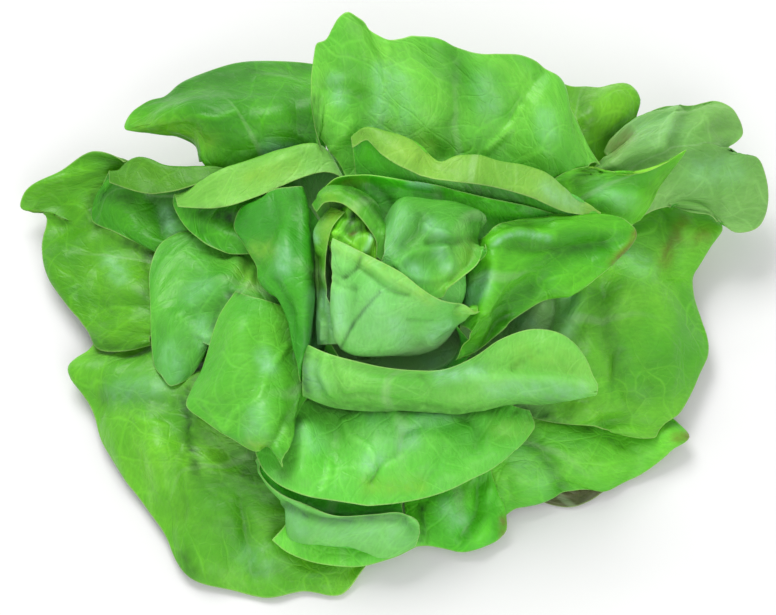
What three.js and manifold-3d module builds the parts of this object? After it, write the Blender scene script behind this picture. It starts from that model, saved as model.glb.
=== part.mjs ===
import * as THREE from "three";
import { mergeVertices } from "three/addons/utils/BufferGeometryUtils.js";
import Module from "manifold-3d";

// An opened head of butterhead lettuce, standing on the cut end of its core. Sizes are in
// millimetres, Z is up, and the origin is the middle of the cut face. Every leaf is a thin closed
// sheet of its own that starts on the core, and each lies on the leaves outside it.

// Driving dimensions of the core: a short cone with a round top.
const core = { cutRadius: 15, topRadius: 6, height: 48, crownHeight: 4, sides: 20 };

// Driving dimensions of a leaf blade, and the gap kept between two leaves.
const blade = { thickness: 0.8, ribThickness: 1.6, gap: 0.35 };

// How finely a leaf is divided, across and along, and how finely a small one.
const wideLeaf = { across: 8, along: 8, fromLength: 110 };
const smallLeaf = { across: 7, along: 7 };

// The middle of the heart, which the leaves close around, and how much higher the wide-spread
// leaves aim.
const heart = { x: -3, y: 5, height: 55, reach: 40, rise: 0.9 };

// How far a leaf may be lifted off the leaves outside it, by how tightly it belongs to the heart.
const lift = { spread: 12, wrapping: 6, heart: 4, passes: 3, margin: 1.5 };
const wrappingLeaves = ["back_wrap", "front_wrap", "back_inner", "inner_cup"];

// Two leaves that share less than this volume, in cubic millimetres, are taken to be clear of each
// other.
const leastOverlap = 0.002;

// No point of a leaf comes lower than this above the surface that the head stands on.
const lowestPoint = 1.2;

// The picture's view of the head. A leaf's lines are written as picture columns and rows with
// the height of each point in millimetres, and this view turns them into places.
const view = {
  centreColumn: 388,
  centreRow: 307.5,
  mmPerPixel: 0.4,
  elevation: 65,
  distance: 1100,
  target: new THREE.Vector3(-7, 4, 40),
};

// The leaves, from the outermost inwards. foot: azimuth, half angle and height where the leaf
// leaves the core. stalk: radius, half angle and height a little further out. lines: the lines
// across the blade that its surface passes through, each anticlockwise seen from above, as
// [column, row, height], or as [azimuth, radius, height] where polar is 1. The last is the rim.
// turned is 1 on a leaf that lies with its underside up.
const leaves = [
  {name: "outer_front_left", foot: [222, 50, 5], stalk: [34, 42, 9],
   lines: [
     [[222, 352, 22], [204, 390, 26], [204, 425, 28], [238, 455, 24], [285, 485, 16], [335, 505, 8],
      [372, 510, 6]],
     [[150, 338, 16], [128, 385, 17], [148, 440, 20], [187, 480, 20], [235, 520, 13], [290, 545, 6],
      [338, 550, 4]],
     [[100, 334, 8], [88, 352, 8], [70, 368, 8], [84, 395, 7], [103, 443, 6], [140, 500, 5],
      [160, 527, 5], [177, 560, 4], [188, 574, 3], [232, 590, 2], [268, 598, 2], [305, 591, 3],
      [340, 595, 2], [366, 566, 5]],
   ]},
  {name: "low_back_left", foot: [118, 46, 4], stalk: [36, 40, 8], polar: 1,
   lines: [
     [[82, 62, 12], [104, 66, 14], [126, 64, 14], [146, 60, 14]],
     [[78, 84, 5], [88, 95, 3], [100, 100, 2], [114, 97, 4], [128, 92, 2], [140, 86, 3], [150, 78, 6]],
   ]},
  {name: "low_back_right", foot: [60, 46, 4], stalk: [36, 40, 8], polar: 1,
   lines: [
     [[22, 66, 10], [44, 70, 13], [66, 66, 14], [84, 62, 13]],
     [[16, 92, 5], [28, 106, 3], [40, 112, 2], [54, 106, 4], [66, 100, 2], [76, 96, 3], [86, 84, 6]],
   ]},
  {name: "withered_leaf", foot: [312, 40, 2], stalk: [30, 30, 3],
   lines: [
     [[510, 490, 3], [545, 484, 3], [575, 474, 3]],
     [[536, 499, 2], [552, 505, 1.5], [572, 507, 1.5], [590, 501, 1.5], [606, 490, 2]],
   ]},
  {name: "outer_front_right", foot: [318, 50, 5], stalk: [36, 40, 9],
   lines: [
     [[455, 450, 16], [490, 450, 20], [530, 435, 20], [575, 405, 20]],
     [[480, 490, 12], [520, 478, 15], [560, 460, 15], [605, 440, 12], [642, 418, 9]],
     [[500, 525, 6], [508, 514, 5], [540, 501, 4], [560, 494, 5], [582, 491, 5], [605, 492, 4],
      [620, 485, 4], [636, 478, 4], [660, 460, 5], [673, 448, 6], [689, 437, 7], [680, 424, 8],
      [662, 408, 9]],
   ]},
  {name: "outer_left", foot: [163, 50, 6], stalk: [36, 40, 10],
   lines: [
     [[215, 190, 24], [190, 230, 21], [182, 270, 22], [190, 310, 25], [218, 345, 25]],
     [[150, 165, 26], [110, 190, 20], [95, 240, 16], [105, 290, 18], [152, 335, 22]],
     [[124, 163, 34], [95, 150, 30], [62, 170, 22], [22, 198, 16], [20, 208, 14], [45, 216, 12],
      [41, 245, 9], [52, 277, 8], [72, 306, 8], [90, 332, 10], [96, 348, 13], [120, 352, 17],
      [152, 345, 21]],
   ]},
  {name: "outer_back_left", foot: [122, 48, 7], stalk: [36, 38, 15],
   lines: [
     [[335, 190, 36], [300, 180, 38], [260, 190, 37], [218, 208, 32]],
     [[322, 112, 58], [280, 112, 59], [240, 118, 58], [205, 128, 54], [206, 165, 42]],
     [[318, 66, 48], [280, 60, 45], [240, 64, 43], [200, 75, 41], [180, 85, 39], [166, 95, 38],
      [148, 101, 37], [130, 113, 35], [124, 128, 35], [150, 133, 37], [182, 137, 38], [196, 146, 37],
      [199, 162, 36]],
   ]},
  {name: "outer_back_right", foot: [62, 48, 7], stalk: [36, 38, 15],
   lines: [
     [[600, 230, 22], [590, 190, 32], [560, 170, 38], [520, 160, 42], [470, 165, 42]],
     [[640, 170, 32], [625, 135, 44], [600, 120, 52], [570, 115, 54], [520, 115, 52], [470, 120, 50]],
     [[652, 150, 34], [637, 118, 42], [634, 95, 44], [628, 87, 45], [612, 86, 46], [601, 89, 45],
      [582, 86, 46], [563, 83, 48], [535, 84, 48], [500, 88, 46], [465, 95, 44]],
   ]},
  {name: "outer_right", foot: [5, 52, 8], stalk: [36, 42, 14],
   lines: [
     [[540, 420, 24], [560, 385, 30], [570, 345, 33], [572, 300, 33], [562, 262, 29], [548, 240, 25]],
     [[600, 427, 22], [630, 390, 24], [645, 350, 26], [645, 310, 27], [650, 270, 26], [655, 235, 23],
      [650, 208, 22]],
     [[612, 432, 19], [640, 438, 15], [658, 436, 13], [662, 427, 13], [680, 413, 11], [691, 395, 10],
      [700, 372, 9], [709, 352, 9], [709, 338, 9], [702, 318, 11], [693, 295, 13], [691, 278, 14],
      [701, 260, 15], [714, 240, 17], [722, 230, 18], [716, 216, 18], [698, 202, 19], [674, 198, 20]],
   ]},
  {name: "outer_right_pale", foot: [36, 42, 10], stalk: [36, 30, 20], turned: 1,
   lines: [
     [[575, 185, 38], [600, 178, 42], [622, 180, 42], [640, 193, 40], [650, 212, 36]],
     [[603, 158, 46], [635, 140, 52], [665, 142, 48], [688, 165, 41], [692, 190, 36], [668, 207, 34]],
     [[606, 155, 46], [622, 133, 48], [640, 117, 48], [665, 105, 46], [690, 104, 42], [720, 100, 38],
      [733, 112, 35], [745, 131, 32], [740, 140, 32], [729, 150, 33], [740, 155, 32], [757, 157, 29],
      [766, 180, 25], [767, 200, 22], [757, 228, 22], [735, 232, 25], [714, 217, 29], [690, 212, 32],
      [668, 205, 34]],
   ]},
  {name: "front_low", foot: [290, 48, 6], stalk: [34, 40, 9],
   lines: [
     [[400, 470, 12], [430, 475, 15], [470, 470, 15], [500, 460, 14]],
     [[405, 510, 9], [440, 515, 12], [475, 510, 12], [500, 495, 10]],
     [[408, 548, 4], [425, 546, 4], [445, 549, 4], [462, 552, 4], [480, 547, 4], [498, 540, 5],
      [507, 530, 7], [507, 518, 8], [504, 505, 9]],
   ]},
  {name: "front_under", foot: [262, 50, 7], stalk: [34, 40, 12],
   lines: [
     [[300, 480, 18], [340, 490, 14], [380, 490, 14], [410, 480, 15]],
     [[285, 525, 16], [325, 538, 12], [365, 542, 11], [402, 530, 12]],
     [[272, 540, 15], [285, 551, 12], [305, 560, 10], [335, 566, 9], [365, 566, 8], [380, 562, 8],
      [398, 556, 8], [416, 547, 9]],
   ]},
  {name: "front_cupped", foot: [256, 50, 9], stalk: [34, 42, 16],
   lines: [
     [[285, 460, 24], [320, 480, 19], [360, 490, 18], [400, 485, 18]],
     [[256, 462, 28], [270, 486, 26], [284, 506, 23], [289, 540, 17], [320, 547, 15], [352, 550, 15],
      [392, 557, 13], [414, 547, 14]],
     [[258, 457, 30], [268, 478, 30], [285, 493, 30], [305, 503, 30], [330, 513, 29], [370, 514, 28],
      [400, 512, 27], [416, 519, 23], [420, 532, 18]],
   ]},
  {name: "front_open", foot: [275, 54, 12], stalk: [34, 46, 22],
   lines: [
     [[300, 400, 35], [340, 410, 35], [400, 415, 36], [460, 415, 36], [506, 402, 36]],
     [[275, 430, 35], [320, 450, 36], [380, 455, 37], [440, 450, 36], [495, 432, 35], [520, 408, 35]],
     [[255, 452, 34], [262, 468, 34], [278, 484, 35], [300, 494, 35], [335, 501, 35], [375, 505, 34],
      [400, 503, 33], [425, 498, 32], [450, 490, 31], [470, 480, 30], [490, 470, 29], [510, 452, 29],
      [526, 438, 29], [535, 427, 30], [530, 410, 33]],
   ]},
  {name: "left_outer_rolled", foot: [155, 48, 10], stalk: [36, 38, 17],
   lines: [
     [[222, 180, 44], [218, 166, 44], [215, 185, 36], [215, 215, 29], [222, 250, 27]],
     [[170, 192, 42], [168, 165, 43], [158, 180, 33], [152, 202, 27], [160, 228, 25], [188, 250, 25]],
     [[138, 192, 39], [132, 161, 39], [118, 176, 31], [108, 198, 26], [122, 225, 23], [157, 252, 24]],
     [[110, 183, 33], [109, 172, 33], [103, 184, 27], [95, 202, 23], [92, 222, 21], [110, 231, 21],
      [128, 239, 22], [157, 252, 24]],
   ]},
  {name: "left_tongue", foot: [186, 46, 13], stalk: [33, 40, 24],
   lines: [
     [[262, 234, 27], [262, 256, 31], [270, 290, 41], [276, 330, 46], [285, 370, 44]],
     [[206, 230, 26], [201, 254, 28], [205, 290, 36], [208, 320, 38], [208, 345, 37]],
     [[174, 233, 25], [160, 243, 25], [151, 264, 25], [148, 290, 24], [150, 330, 23], [153, 362, 22],
      [157, 381, 21], [161, 395, 20], [170, 391, 21], [184, 381, 23], [200, 363, 28], [211, 340, 33]],
   ]},
  {name: "left_inner_rolled", foot: [148, 48, 16], stalk: [34, 38, 28],
   lines: [
     [[324, 172, 56], [316, 146, 56], [300, 167, 48], [290, 205, 42], [290, 250, 42]],
     [[258, 196, 52], [250, 160, 52], [240, 185, 43], [235, 215, 38], [250, 254, 38]],
     [[210, 208, 45], [200, 181, 45], [192, 198, 38], [196, 222, 34], [230, 254, 35]],
     [[178, 207, 39], [174, 194, 39], [173, 204, 35], [180, 219, 33], [199, 239, 33], [226, 253, 35]],
   ]},
  {name: "back_tall", foot: [88, 52, 16], stalk: [34, 44, 28],
   lines: [
     [[575, 200, 46], [520, 190, 52], [450, 180, 56], [390, 175, 56], [345, 175, 52]],
     [[590, 165, 56], [550, 130, 66], [500, 120, 68], [440, 115, 70], [380, 112, 70], [335, 115, 67],
      [318, 135, 60]],
     [[600, 165, 52], [582, 134, 60], [568, 108, 66], [561, 83, 70], [549, 71, 74], [522, 55, 80],
      [500, 53, 82], [475, 53, 84], [455, 45, 86], [430, 37, 88], [412, 34, 88], [390, 39, 88],
      [370, 31, 90], [346, 12, 92], [335, 22, 89], [328, 38, 85], [317, 43, 82], [313, 62, 78],
      [311, 92, 71], [314, 125, 64], [322, 152, 58]],
   ]},
  {name: "right_back_fold", foot: [38, 45, 14], stalk: [34, 36, 24],
   lines: [
     [[600, 235, 38], [585, 215, 43], [566, 200, 45], [545, 192, 46]],
     [[625, 228, 38], [622, 205, 45], [612, 190, 49], [592, 178, 52], [568, 172, 53]],
     [[640, 220, 37], [655, 195, 43], [672, 170, 48], [686, 149, 53], [668, 162, 53], [640, 175, 54],
      [612, 171, 54], [594, 163, 55]],
   ]},
  {name: "left_front_flap", foot: [210, 40, 20], stalk: [31, 32, 32],
   lines: [
     [[302, 318, 48], [306, 345, 46], [307, 372, 44], [304, 402, 42]],
     [[286, 308, 52], [293, 345, 49], [297, 390, 46], [292, 440, 45]],
     [[252, 296, 53], [247, 340, 55], [250, 390, 52], [268, 430, 49], [284, 456, 46]],
     [[236, 291, 50], [223, 311, 47], [213, 334, 44], [208, 352, 41], [202, 373, 38], [192, 390, 36],
      [186, 404, 36], [205, 421, 36], [233, 439, 39], [258, 451, 42], [270, 450, 44], [281, 467, 44]],
   ]},
  {name: "left_inner", foot: [176, 48, 23], stalk: [28, 42, 36],
   lines: [
     [[305, 200, 46], [310, 230, 47], [313, 264, 46], [314, 306, 45], [311, 344, 44], [306, 376, 42]],
     [[301, 186, 60], [305, 220, 65], [308, 260, 67], [308, 310, 63], [304, 350, 57], [300, 380, 52]],
     [[272, 189, 56], [264, 218, 58], [262, 245, 60], [266, 272, 61], [280, 303, 60], [294, 335, 58]],
     [[250, 195, 50], [239, 208, 47], [233, 224, 46], [244, 243, 49], [253, 262, 53], [259, 280, 55],
      [268, 292, 57], [284, 304, 59], [296, 332, 57]],
   ]},
  {name: "front_wrap", foot: [245, 62, 26], stalk: [26, 58, 38],
   lines: [
     [[303, 396, 48], [325, 405, 45], [390, 411, 41], [450, 413, 40], [530, 405, 40], [592, 396, 43]],
     [[303, 372, 54], [320, 382, 56], [345, 388, 57], [400, 390, 58], [450, 388, 58], [490, 381, 58],
      [540, 386, 54], [598, 392, 48]],
     [[305, 346, 58], [320, 351, 61], [343, 358, 63], [381, 367, 63], [410, 370, 63], [445, 369, 63],
      [474, 357, 63], [503, 338, 61], [535, 329, 58], [562, 335, 55], [582, 356, 51], [598, 384, 48]],
   ]},
  {name: "right_wrap", foot: [18, 56, 24], stalk: [27, 50, 42],
   lines: [
     [[462, 326, 60], [468, 306, 63], [472, 284, 66], [480, 258, 68], [486, 236, 69]],
     [[470, 330, 64], [490, 296, 69], [495, 262, 71], [498, 244, 72], [493, 228, 71]],
     [[466, 342, 61], [492, 310, 63], [522, 285, 61], [552, 262, 61], [572, 243, 61], [552, 228, 65],
      [512, 221, 68]],
     [[455, 360, 58], [480, 350, 57], [500, 331, 56], [522, 314, 54], [548, 299, 53], [570, 294, 52],
      [590, 281, 51], [610, 262, 51], [630, 246, 51], [637, 232, 53], [627, 221, 55], [600, 216, 58],
      [560, 215, 62]],
   ]},
  {name: "back_wrap", foot: [82, 54, 26], stalk: [27, 50, 44],
   lines: [
     [[600, 226, 54], [540, 205, 62], [470, 192, 66], [400, 184, 66], [356, 178, 60]],
     [[602, 213, 60], [570, 192, 70], [540, 173, 74], [510, 162, 76], [480, 156, 77], [455, 158, 78],
      [438, 160, 78], [428, 148, 79], [415, 140, 80], [390, 134, 80], [364, 128, 79], [352, 138, 73]],
     [[600, 217, 59], [565, 212, 66], [530, 198, 73], [500, 189, 76], [450, 181, 79], [428, 177, 79],
      [400, 167, 80], [380, 153, 79], [368, 140, 77], [353, 148, 72]],
   ]},
  {name: "back_inner", foot: [92, 56, 32], stalk: [25, 52, 50],
   lines: [
     [[550, 230, 56], [490, 215, 60], [440, 206, 64], [390, 202, 66], [350, 202, 64], [325, 212, 60]],
     [[560, 214, 60], [530, 206, 64], [480, 196, 69], [430, 184, 72], [400, 178, 74], [360, 174, 75],
      [335, 178, 71], [320, 190, 67]],
   ]},
  {name: "inner_cup", foot: [300, 76, 34], stalk: [26, 70, 42],
   lines: [
     [[326, 350, 46], [350, 372, 42], [400, 380, 42], [440, 374, 42], [462, 352, 46], [462, 320, 52]],
     [[328, 340, 53], [350, 370, 51], [400, 378, 51], [445, 372, 51], [474, 350, 53], [470, 318, 59]],
   ]},
  {name: "heart_left", foot: [180, 46, 38], stalk: [23, 42, 50],
   lines: [
     [[330, 208, 72], [314, 230, 67], [313, 262, 62], [314, 305, 58], [318, 345, 52]],
     [[345, 212, 78], [333, 226, 77], [327, 250, 72], [327, 290, 67], [334, 318, 63], [340, 344, 58]],
   ]},
  {name: "heart_front", foot: [264, 66, 37], stalk: [22, 62, 51],
   lines: [
     [[336, 326, 62], [345, 350, 61], [388, 353, 62], [430, 338, 63], [474, 310, 65]],
     [[331, 285, 76], [352, 304, 80], [390, 312, 82], [430, 310, 81], [478, 311, 73]],
     [[333, 238, 84], [350, 246, 87], [366, 254, 89], [382, 262, 90], [402, 273, 89], [422, 289, 86],
      [441, 300, 83], [458, 304, 79], [480, 311, 74]],
   ]},
  {name: "heart_right", foot: [70, 70, 38], stalk: [23, 64, 53],
   lines: [
     [[470, 274, 64], [482, 214, 70], [432, 199, 73], [402, 200, 74], [389, 226, 74]],
     [[486, 254, 75], [468, 238, 80], [430, 232, 84], [402, 238, 85], [386, 250, 84]],
     [[485, 244, 78], [478, 264, 78], [462, 278, 79], [449, 289, 80], [442, 298, 80], [420, 290, 83],
      [398, 274, 85], [382, 262, 83]],
   ]},
  {name: "heart_curl", foot: [140, 60, 38], stalk: [22, 54, 54],
   lines: [
     [[388, 268, 70], [393, 238, 72], [386, 212, 74], [368, 195, 76], [345, 187, 76], [325, 189, 73],
      [312, 205, 67]],
     [[382, 262, 78], [386, 240, 81], [378, 219, 83], [362, 201, 84], [342, 190, 83], [324, 192, 79],
      [314, 208, 72]],
     [[376, 256, 78], [376, 242, 80], [368, 228, 82], [355, 213, 84], [340, 203, 83], [325, 203, 80],
      [317, 212, 75]],
   ]},
  {name: "heart_inner", foot: [325, 85, 43], stalk: [16, 80, 56], polar: 1,
   lines: [
     [[245, 21, 66], [280, 21, 67], [315, 22, 68], [350, 23, 68], [385, 25, 68]],
     [[250, 12, 77], [285, 13, 79], [320, 14, 79], [355, 15, 79], [385, 17, 77]],
   ]},
  {name: "heart_bud", foot: [145, 58, 42], stalk: [17, 52, 58],
   lines: [
     [[384, 262, 66], [378, 228, 68], [352, 212, 68], [334, 220, 66], [330, 258, 62]],
     [[380, 256, 74], [374, 226, 77], [352, 207, 79], [334, 209, 78], [326, 238, 73]],
     [[377, 258, 76], [368, 238, 79], [350, 228, 80], [340, 230, 79], [331, 246, 75]],
     [[372, 262, 74], [362, 254, 76], [352, 250, 77], [343, 248, 76], [336, 256, 73]],
   ]},
];

// The view's directions: into the picture, to its right and to its top.
const tilt = THREE.MathUtils.degToRad(view.elevation);
const inward = new THREE.Vector3(0, Math.cos(tilt), -Math.sin(tilt));
const upward = new THREE.Vector3(0, Math.sin(tilt), Math.cos(tilt));
const eye = view.target.clone().addScaledVector(inward, -view.distance);

// The place at a given height that the picture shows at a column and a row.
function seenPoint(column, row, height) {
  const ray = inward.clone().multiplyScalar(view.distance);
  ray.x += (column - view.centreColumn) * view.mmPerPixel;
  ray.addScaledVector(upward, (view.centreRow - row) * view.mmPerPixel);
  return eye.clone().addScaledVector(ray, (height - eye.z) / ray.z);
}

function polarPoint(azimuth, radius, height) {
  const angle = THREE.MathUtils.degToRad(azimuth);
  return new THREE.Vector3(radius * Math.cos(angle), radius * Math.sin(angle), height);
}

// The core tapers slowly at first and faster near its top.
function coreRadius(height) {
  const part = THREE.MathUtils.clamp(height / core.height, 0, 1);
  return core.cutRadius - (core.cutRadius - core.topRadius) * part ** 1.5;
}

function arcLine(radius, azimuth, halfAngle, height) {
  const pointCount = 7;
  const line = [];
  for (let k = 0; k < pointCount; k += 1) {
    const share = (2 * k) / (pointCount - 1) - 1;
    line.push(polarPoint(azimuth + share * halfAngle, radius, height));
  }
  return line;
}

// A smooth curve through points at given stations, read at any station.
function curvePoint(points, stations, at) {
  const last = points.length - 1;
  const slope = (k) => points[k + 1].clone().sub(points[k]).divideScalar(stations[k + 1] - stations[k]);
  const tangent = (k) => {
    if (k === 0) {
      return slope(0);
    }
    if (k === last) {
      return slope(last - 1);
    }
    const before = stations[k] - stations[k - 1];
    const after = stations[k + 1] - stations[k];
    return slope(k - 1).multiplyScalar(after).addScaledVector(slope(k), before).divideScalar(before + after);
  };
  let k = 0;
  while (k < last - 1 && at > stations[k + 1]) {
    k += 1;
  }
  const span = stations[k + 1] - stations[k];
  const s = (at - stations[k]) / span;
  const point = points[k].clone().multiplyScalar(2 * s ** 3 - 3 * s ** 2 + 1);
  point.addScaledVector(tangent(k), span * (s ** 3 - 2 * s ** 2 + s));
  point.addScaledVector(points[k + 1], -2 * s ** 3 + 3 * s ** 2);
  return point.addScaledVector(tangent(k + 1), span * (s ** 3 - s ** 2));
}

// Stations between 0 and 1 that grow with the lengths given.
function stationsOf(lengths) {
  const total = lengths.reduce((sum, length) => sum + length, 0);
  const stations = [0];
  for (const length of lengths) {
    stations.push(stations[stations.length - 1] + length / total);
  }
  return stations;
}

function spacedPoints(line, count) {
  const lengths = line.slice(1).map((point, k) => point.distanceTo(line[k]));
  const stations = stationsOf(lengths);
  return Array.from({ length: count + 1 }, (_, k) => curvePoint(line, stations, k / count));
}

// All the lines of a leaf as places, from its foot on the core to its rim.
function leafLines(leaf) {
  const [azimuth, footHalfAngle, footHeight] = leaf.foot;
  const [stalkRadius, stalkHalfAngle, stalkHeight] = leaf.stalk;
  const footRadius = coreRadius(footHeight) + blade.thickness + blade.gap;
  const low = [
    arcLine(footRadius, azimuth, footHalfAngle, footHeight),
    arcLine(stalkRadius, azimuth, stalkHalfAngle, stalkHeight),
  ];
  if (leaf.turned) {
    low.forEach((line) => line.reverse());
  }
  const placed = leaf.polar ? polarPoint : seenPoint;
  return [...low, ...leaf.lines.map((line) => line.map((point) => placed(...point)))];
}

// The middle surface of a leaf as rows of points, from foot to rim.
function leafSheet(leaf) {
  const lines = leafLines(leaf);
  const rim = lines[lines.length - 1];
  const rimLength = rim.slice(1).reduce((sum, point, k) => sum + point.distanceTo(rim[k]), 0);
  const division = rimLength > wideLeaf.fromLength ? wideLeaf : smallLeaf;
  const spaced = lines.map((line) => spacedPoints(line, division.across));
  const gaps = spaced.slice(1).map((line, k) => {
    const steps = line.map((point, i) => point.distanceTo(spaced[k][i]));
    return steps.reduce((sum, step) => sum + step, 0) / steps.length;
  });
  const stations = stationsOf(gaps);
  const sheet = [];
  for (let j = 0; j <= division.along; j += 1) {
    const along = j / division.along;
    sheet.push(spaced[0].map((_, i) => curvePoint(spaced.map((line) => line[i]), stations, along)));
  }
  for (const point of sheet.flat()) {
    point.z = Math.max(point.z, lowestPoint);
  }
  return sheet;
}

// Towards the middle of the heart: the way in which the leaves are stacked.
function stackDirection(point) {
  const distance = Math.hypot(point.x - heart.x, point.y - heart.y);
  const height = heart.height + heart.rise * Math.max(0, distance - heart.reach);
  return new THREE.Vector3(heart.x, heart.y, height).sub(point).normalize();
}

// The triangles of a sheet, each as three places.
function sheetTriangles(sheet) {
  const triangles = [];
  for (let j = 0; j + 1 < sheet.length; j += 1) {
    for (let i = 0; i + 1 < sheet[0].length; i += 1) {
      const corner = sheet[j][i];
      const opposite = sheet[j + 1][i + 1];
      triangles.push(new THREE.Triangle(corner, sheet[j + 1][i], opposite));
      triangles.push(new THREE.Triangle(corner, opposite, sheet[j][i + 1]));
    }
  }
  return triangles;
}

// How far each point has to be lifted to come clear of the leaves outside it.
function neededLifts(sheet, outerTriangles, most) {
  const ray = new THREE.Ray();
  const hit = new THREE.Vector3();
  return sheet.map((row) => row.map((point) => {
    const direction = stackDirection(point);
    ray.set(point.clone().addScaledVector(direction, -lift.margin), direction);
    let needed = 0;
    for (const triangle of outerTriangles) {
      if (ray.intersectTriangle(triangle.a, triangle.b, triangle.c, false, hit)) {
        const ahead = hit.distanceTo(ray.origin) - lift.margin;
        if (ahead < most) {
          needed = Math.max(needed, ahead + lift.margin);
        }
      }
    }
    return needed;
  }));
}

// Spreads the lifts over the neighbouring points, so that the leaf stays smooth.
function evenLifts(lifts) {
  const near = (j, i) => {
    const around = [];
    for (const dj of [-1, 0, 1]) {
      for (const di of [-1, 0, 1]) {
        around.push(lifts[j + dj]?.[i + di] ?? lifts[j][i]);
      }
    }
    return around;
  };
  return lifts.map((row, j) => row.map((_, i) => {
    const around = near(j, i);
    const mean = around.reduce((sum, value) => sum + value, 0) / around.length;
    return Math.max(lifts[j][i], mean);
  }));
}

function mostLift(leaf) {
  if (leaf.name.startsWith("heart")) {
    return lift.heart;
  }
  return wrappingLeaves.includes(leaf.name) ? lift.wrapping : lift.spread;
}

// Lifts a sheet off the leaves outside it. The foot stays on the core.
function settle(sheet, outerTriangles, leaf) {
  for (let pass = 0; pass < lift.passes; pass += 1) {
    const lifts = evenLifts(neededLifts(sheet, outerTriangles, mostLift(leaf)));
    sheet.forEach((row, j) => row.forEach((point, i) => {
      const share = Math.min(1, j / 2);
      point.addScaledVector(stackDirection(point), share * lifts[j][i]);
    }));
  }
}

// The direction out of the upper side at a point of a sheet.
function upperNormal(sheet, j, i) {
  const lastRow = sheet.length - 1;
  const lastPoint = sheet[0].length - 1;
  const along = sheet[Math.min(j + 1, lastRow)][i].clone().sub(sheet[Math.max(j - 1, 0)][i]);
  const across = sheet[j][Math.min(i + 1, lastPoint)].clone().sub(sheet[j][Math.max(i - 1, 0)]);
  return along.cross(across).normalize();
}

// The closed skin of a leaf: an upper side, an underside with the rib standing out of it, and the
// narrow edge all the way round. swell makes the leaf thicker on both sides.
function leafSkin(sheet, swell) {
  const rows = sheet.length;
  const columns = sheet[0].length;
  const places = [];
  for (const side of [1, -1]) {
    sheet.forEach((row, j) => row.forEach((point, i) => {
      const fromRib = Math.abs((2 * i) / (columns - 1) - 1);
      const rib = blade.ribThickness * (1 - j / (rows - 1)) * Math.max(0, 1 - 3 * fromRib);
      const half = blade.thickness / 2 + swell + (side < 0 ? rib : 0);
      const place = point.clone().addScaledVector(upperNormal(sheet, j, i), side * half);
      places.push(place.x, place.y, Math.max(place.z, 0));
    }));
  }
  const upper = (j, i) => j * columns + i;
  const under = (j, i) => (rows + j) * columns + i;
  const faces = [];
  for (let j = 0; j + 1 < rows; j += 1) {
    for (let i = 0; i + 1 < columns; i += 1) {
      faces.push(upper(j, i), upper(j + 1, i), upper(j + 1, i + 1));
      faces.push(upper(j, i), upper(j + 1, i + 1), upper(j, i + 1));
      faces.push(under(j, i), under(j + 1, i + 1), under(j + 1, i));
      faces.push(under(j, i), under(j, i + 1), under(j + 1, i + 1));
    }
  }
  const edge = [];
  for (let i = 0; i + 1 < columns; i += 1) {
    edge.push([0, i]);
  }
  for (let j = 0; j + 1 < rows; j += 1) {
    edge.push([j, columns - 1]);
  }
  for (let i = columns - 1; i > 0; i -= 1) {
    edge.push([rows - 1, i]);
  }
  for (let j = rows - 1; j > 0; j -= 1) {
    edge.push([j, 0]);
  }
  edge.forEach((from, k) => {
    const to = edge[(k + 1) % edge.length];
    faces.push(upper(...from), upper(...to), under(...to));
    faces.push(upper(...from), under(...to), under(...from));
  });
  return { places, faces };
}

const wasm = await Module();
wasm.setup();

function solidOf({ places, faces }) {
  const mesh = new wasm.Mesh({
    numProp: 3,
    vertProperties: new Float32Array(places),
    triVerts: new Uint32Array(faces),
  });
  return new wasm.Manifold(mesh);
}

function boxesMeet(a, b) {
  return [0, 1, 2].every((axis) => a.min[axis] < b.max[axis] && b.min[axis] < a.max[axis]);
}

function mainPiece(solid) {
  const pieces = solid.decompose();
  pieces.sort((a, b) => b.volume() - a.volume());
  return pieces[0];
}

function overlapVolume(a, b) {
  return boxesMeet(a.boundingBox(), b.boundingBox()) ? a.intersect(b).volume() : 0;
}

// Trims off a leaf what would still press into its neighbours, and keeps its main piece. Where a
// neighbour is so tightly rolled that its swollen shape misses some of it, the neighbour itself is
// taken off too.
function trimmed(solid, outerSolids) {
  let kept = solid;
  for (const outer of outerSolids) {
    if (overlapVolume(kept, outer.swollen) > 0) {
      kept = mainPiece(kept.subtract(outer.swollen));
    }
    if (overlapVolume(kept, outer.exact) > leastOverlap) {
      kept = mainPiece(kept.subtract(outer.exact));
    }
  }
  return kept;
}

function geometryOf(solid) {
  const mesh = solid.getMesh();
  const geometry = new THREE.BufferGeometry();
  const places = new Float32Array(mesh.numVert * 3);
  for (let k = 0; k < mesh.numVert; k += 1) {
    places.set(mesh.vertProperties.subarray(k * mesh.numProp, k * mesh.numProp + 3), k * 3);
  }
  geometry.setAttribute("position", new THREE.BufferAttribute(places, 3));
  geometry.setIndex(new THREE.BufferAttribute(new Uint32Array(mesh.triVerts), 1));
  geometry.computeVertexNormals();
  return geometry;
}

// The core, turned about its axis from the middle of the cut face to the middle of the crown.
// swell makes it wider.
function coreGeometry(swell) {
  const steps = 6;
  const outline = [new THREE.Vector2(0, 0)];
  for (let k = 0; k <= steps; k += 1) {
    const height = (k / steps) * core.height;
    outline.push(new THREE.Vector2(coreRadius(height) + swell, height));
  }
  outline.push(new THREE.Vector2(0, core.height + core.crownHeight + swell));
  return new THREE.LatheGeometry(outline, core.sides).rotateX(Math.PI / 2);
}

const darkGreen = new THREE.Color(0x5ba035);
const paleGreen = new THREE.Color(0x8fd070);
const stemColour = 0xd9e2b4;
const witheredColour = 0x536a2b;

// Leaves grow paler from the outermost to the heart.
function leafMaterial(leaf, order) {
  const colour = darkGreen.clone().lerp(paleGreen, order / (leaves.length - 1));
  if (leaf.name === "withered_leaf") {
    colour.set(witheredColour);
  }
  return new THREE.MeshStandardMaterial({
    color: colour,
    roughness: 0.42,
    metalness: 0,
    side: THREE.DoubleSide,
  });
}

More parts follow.
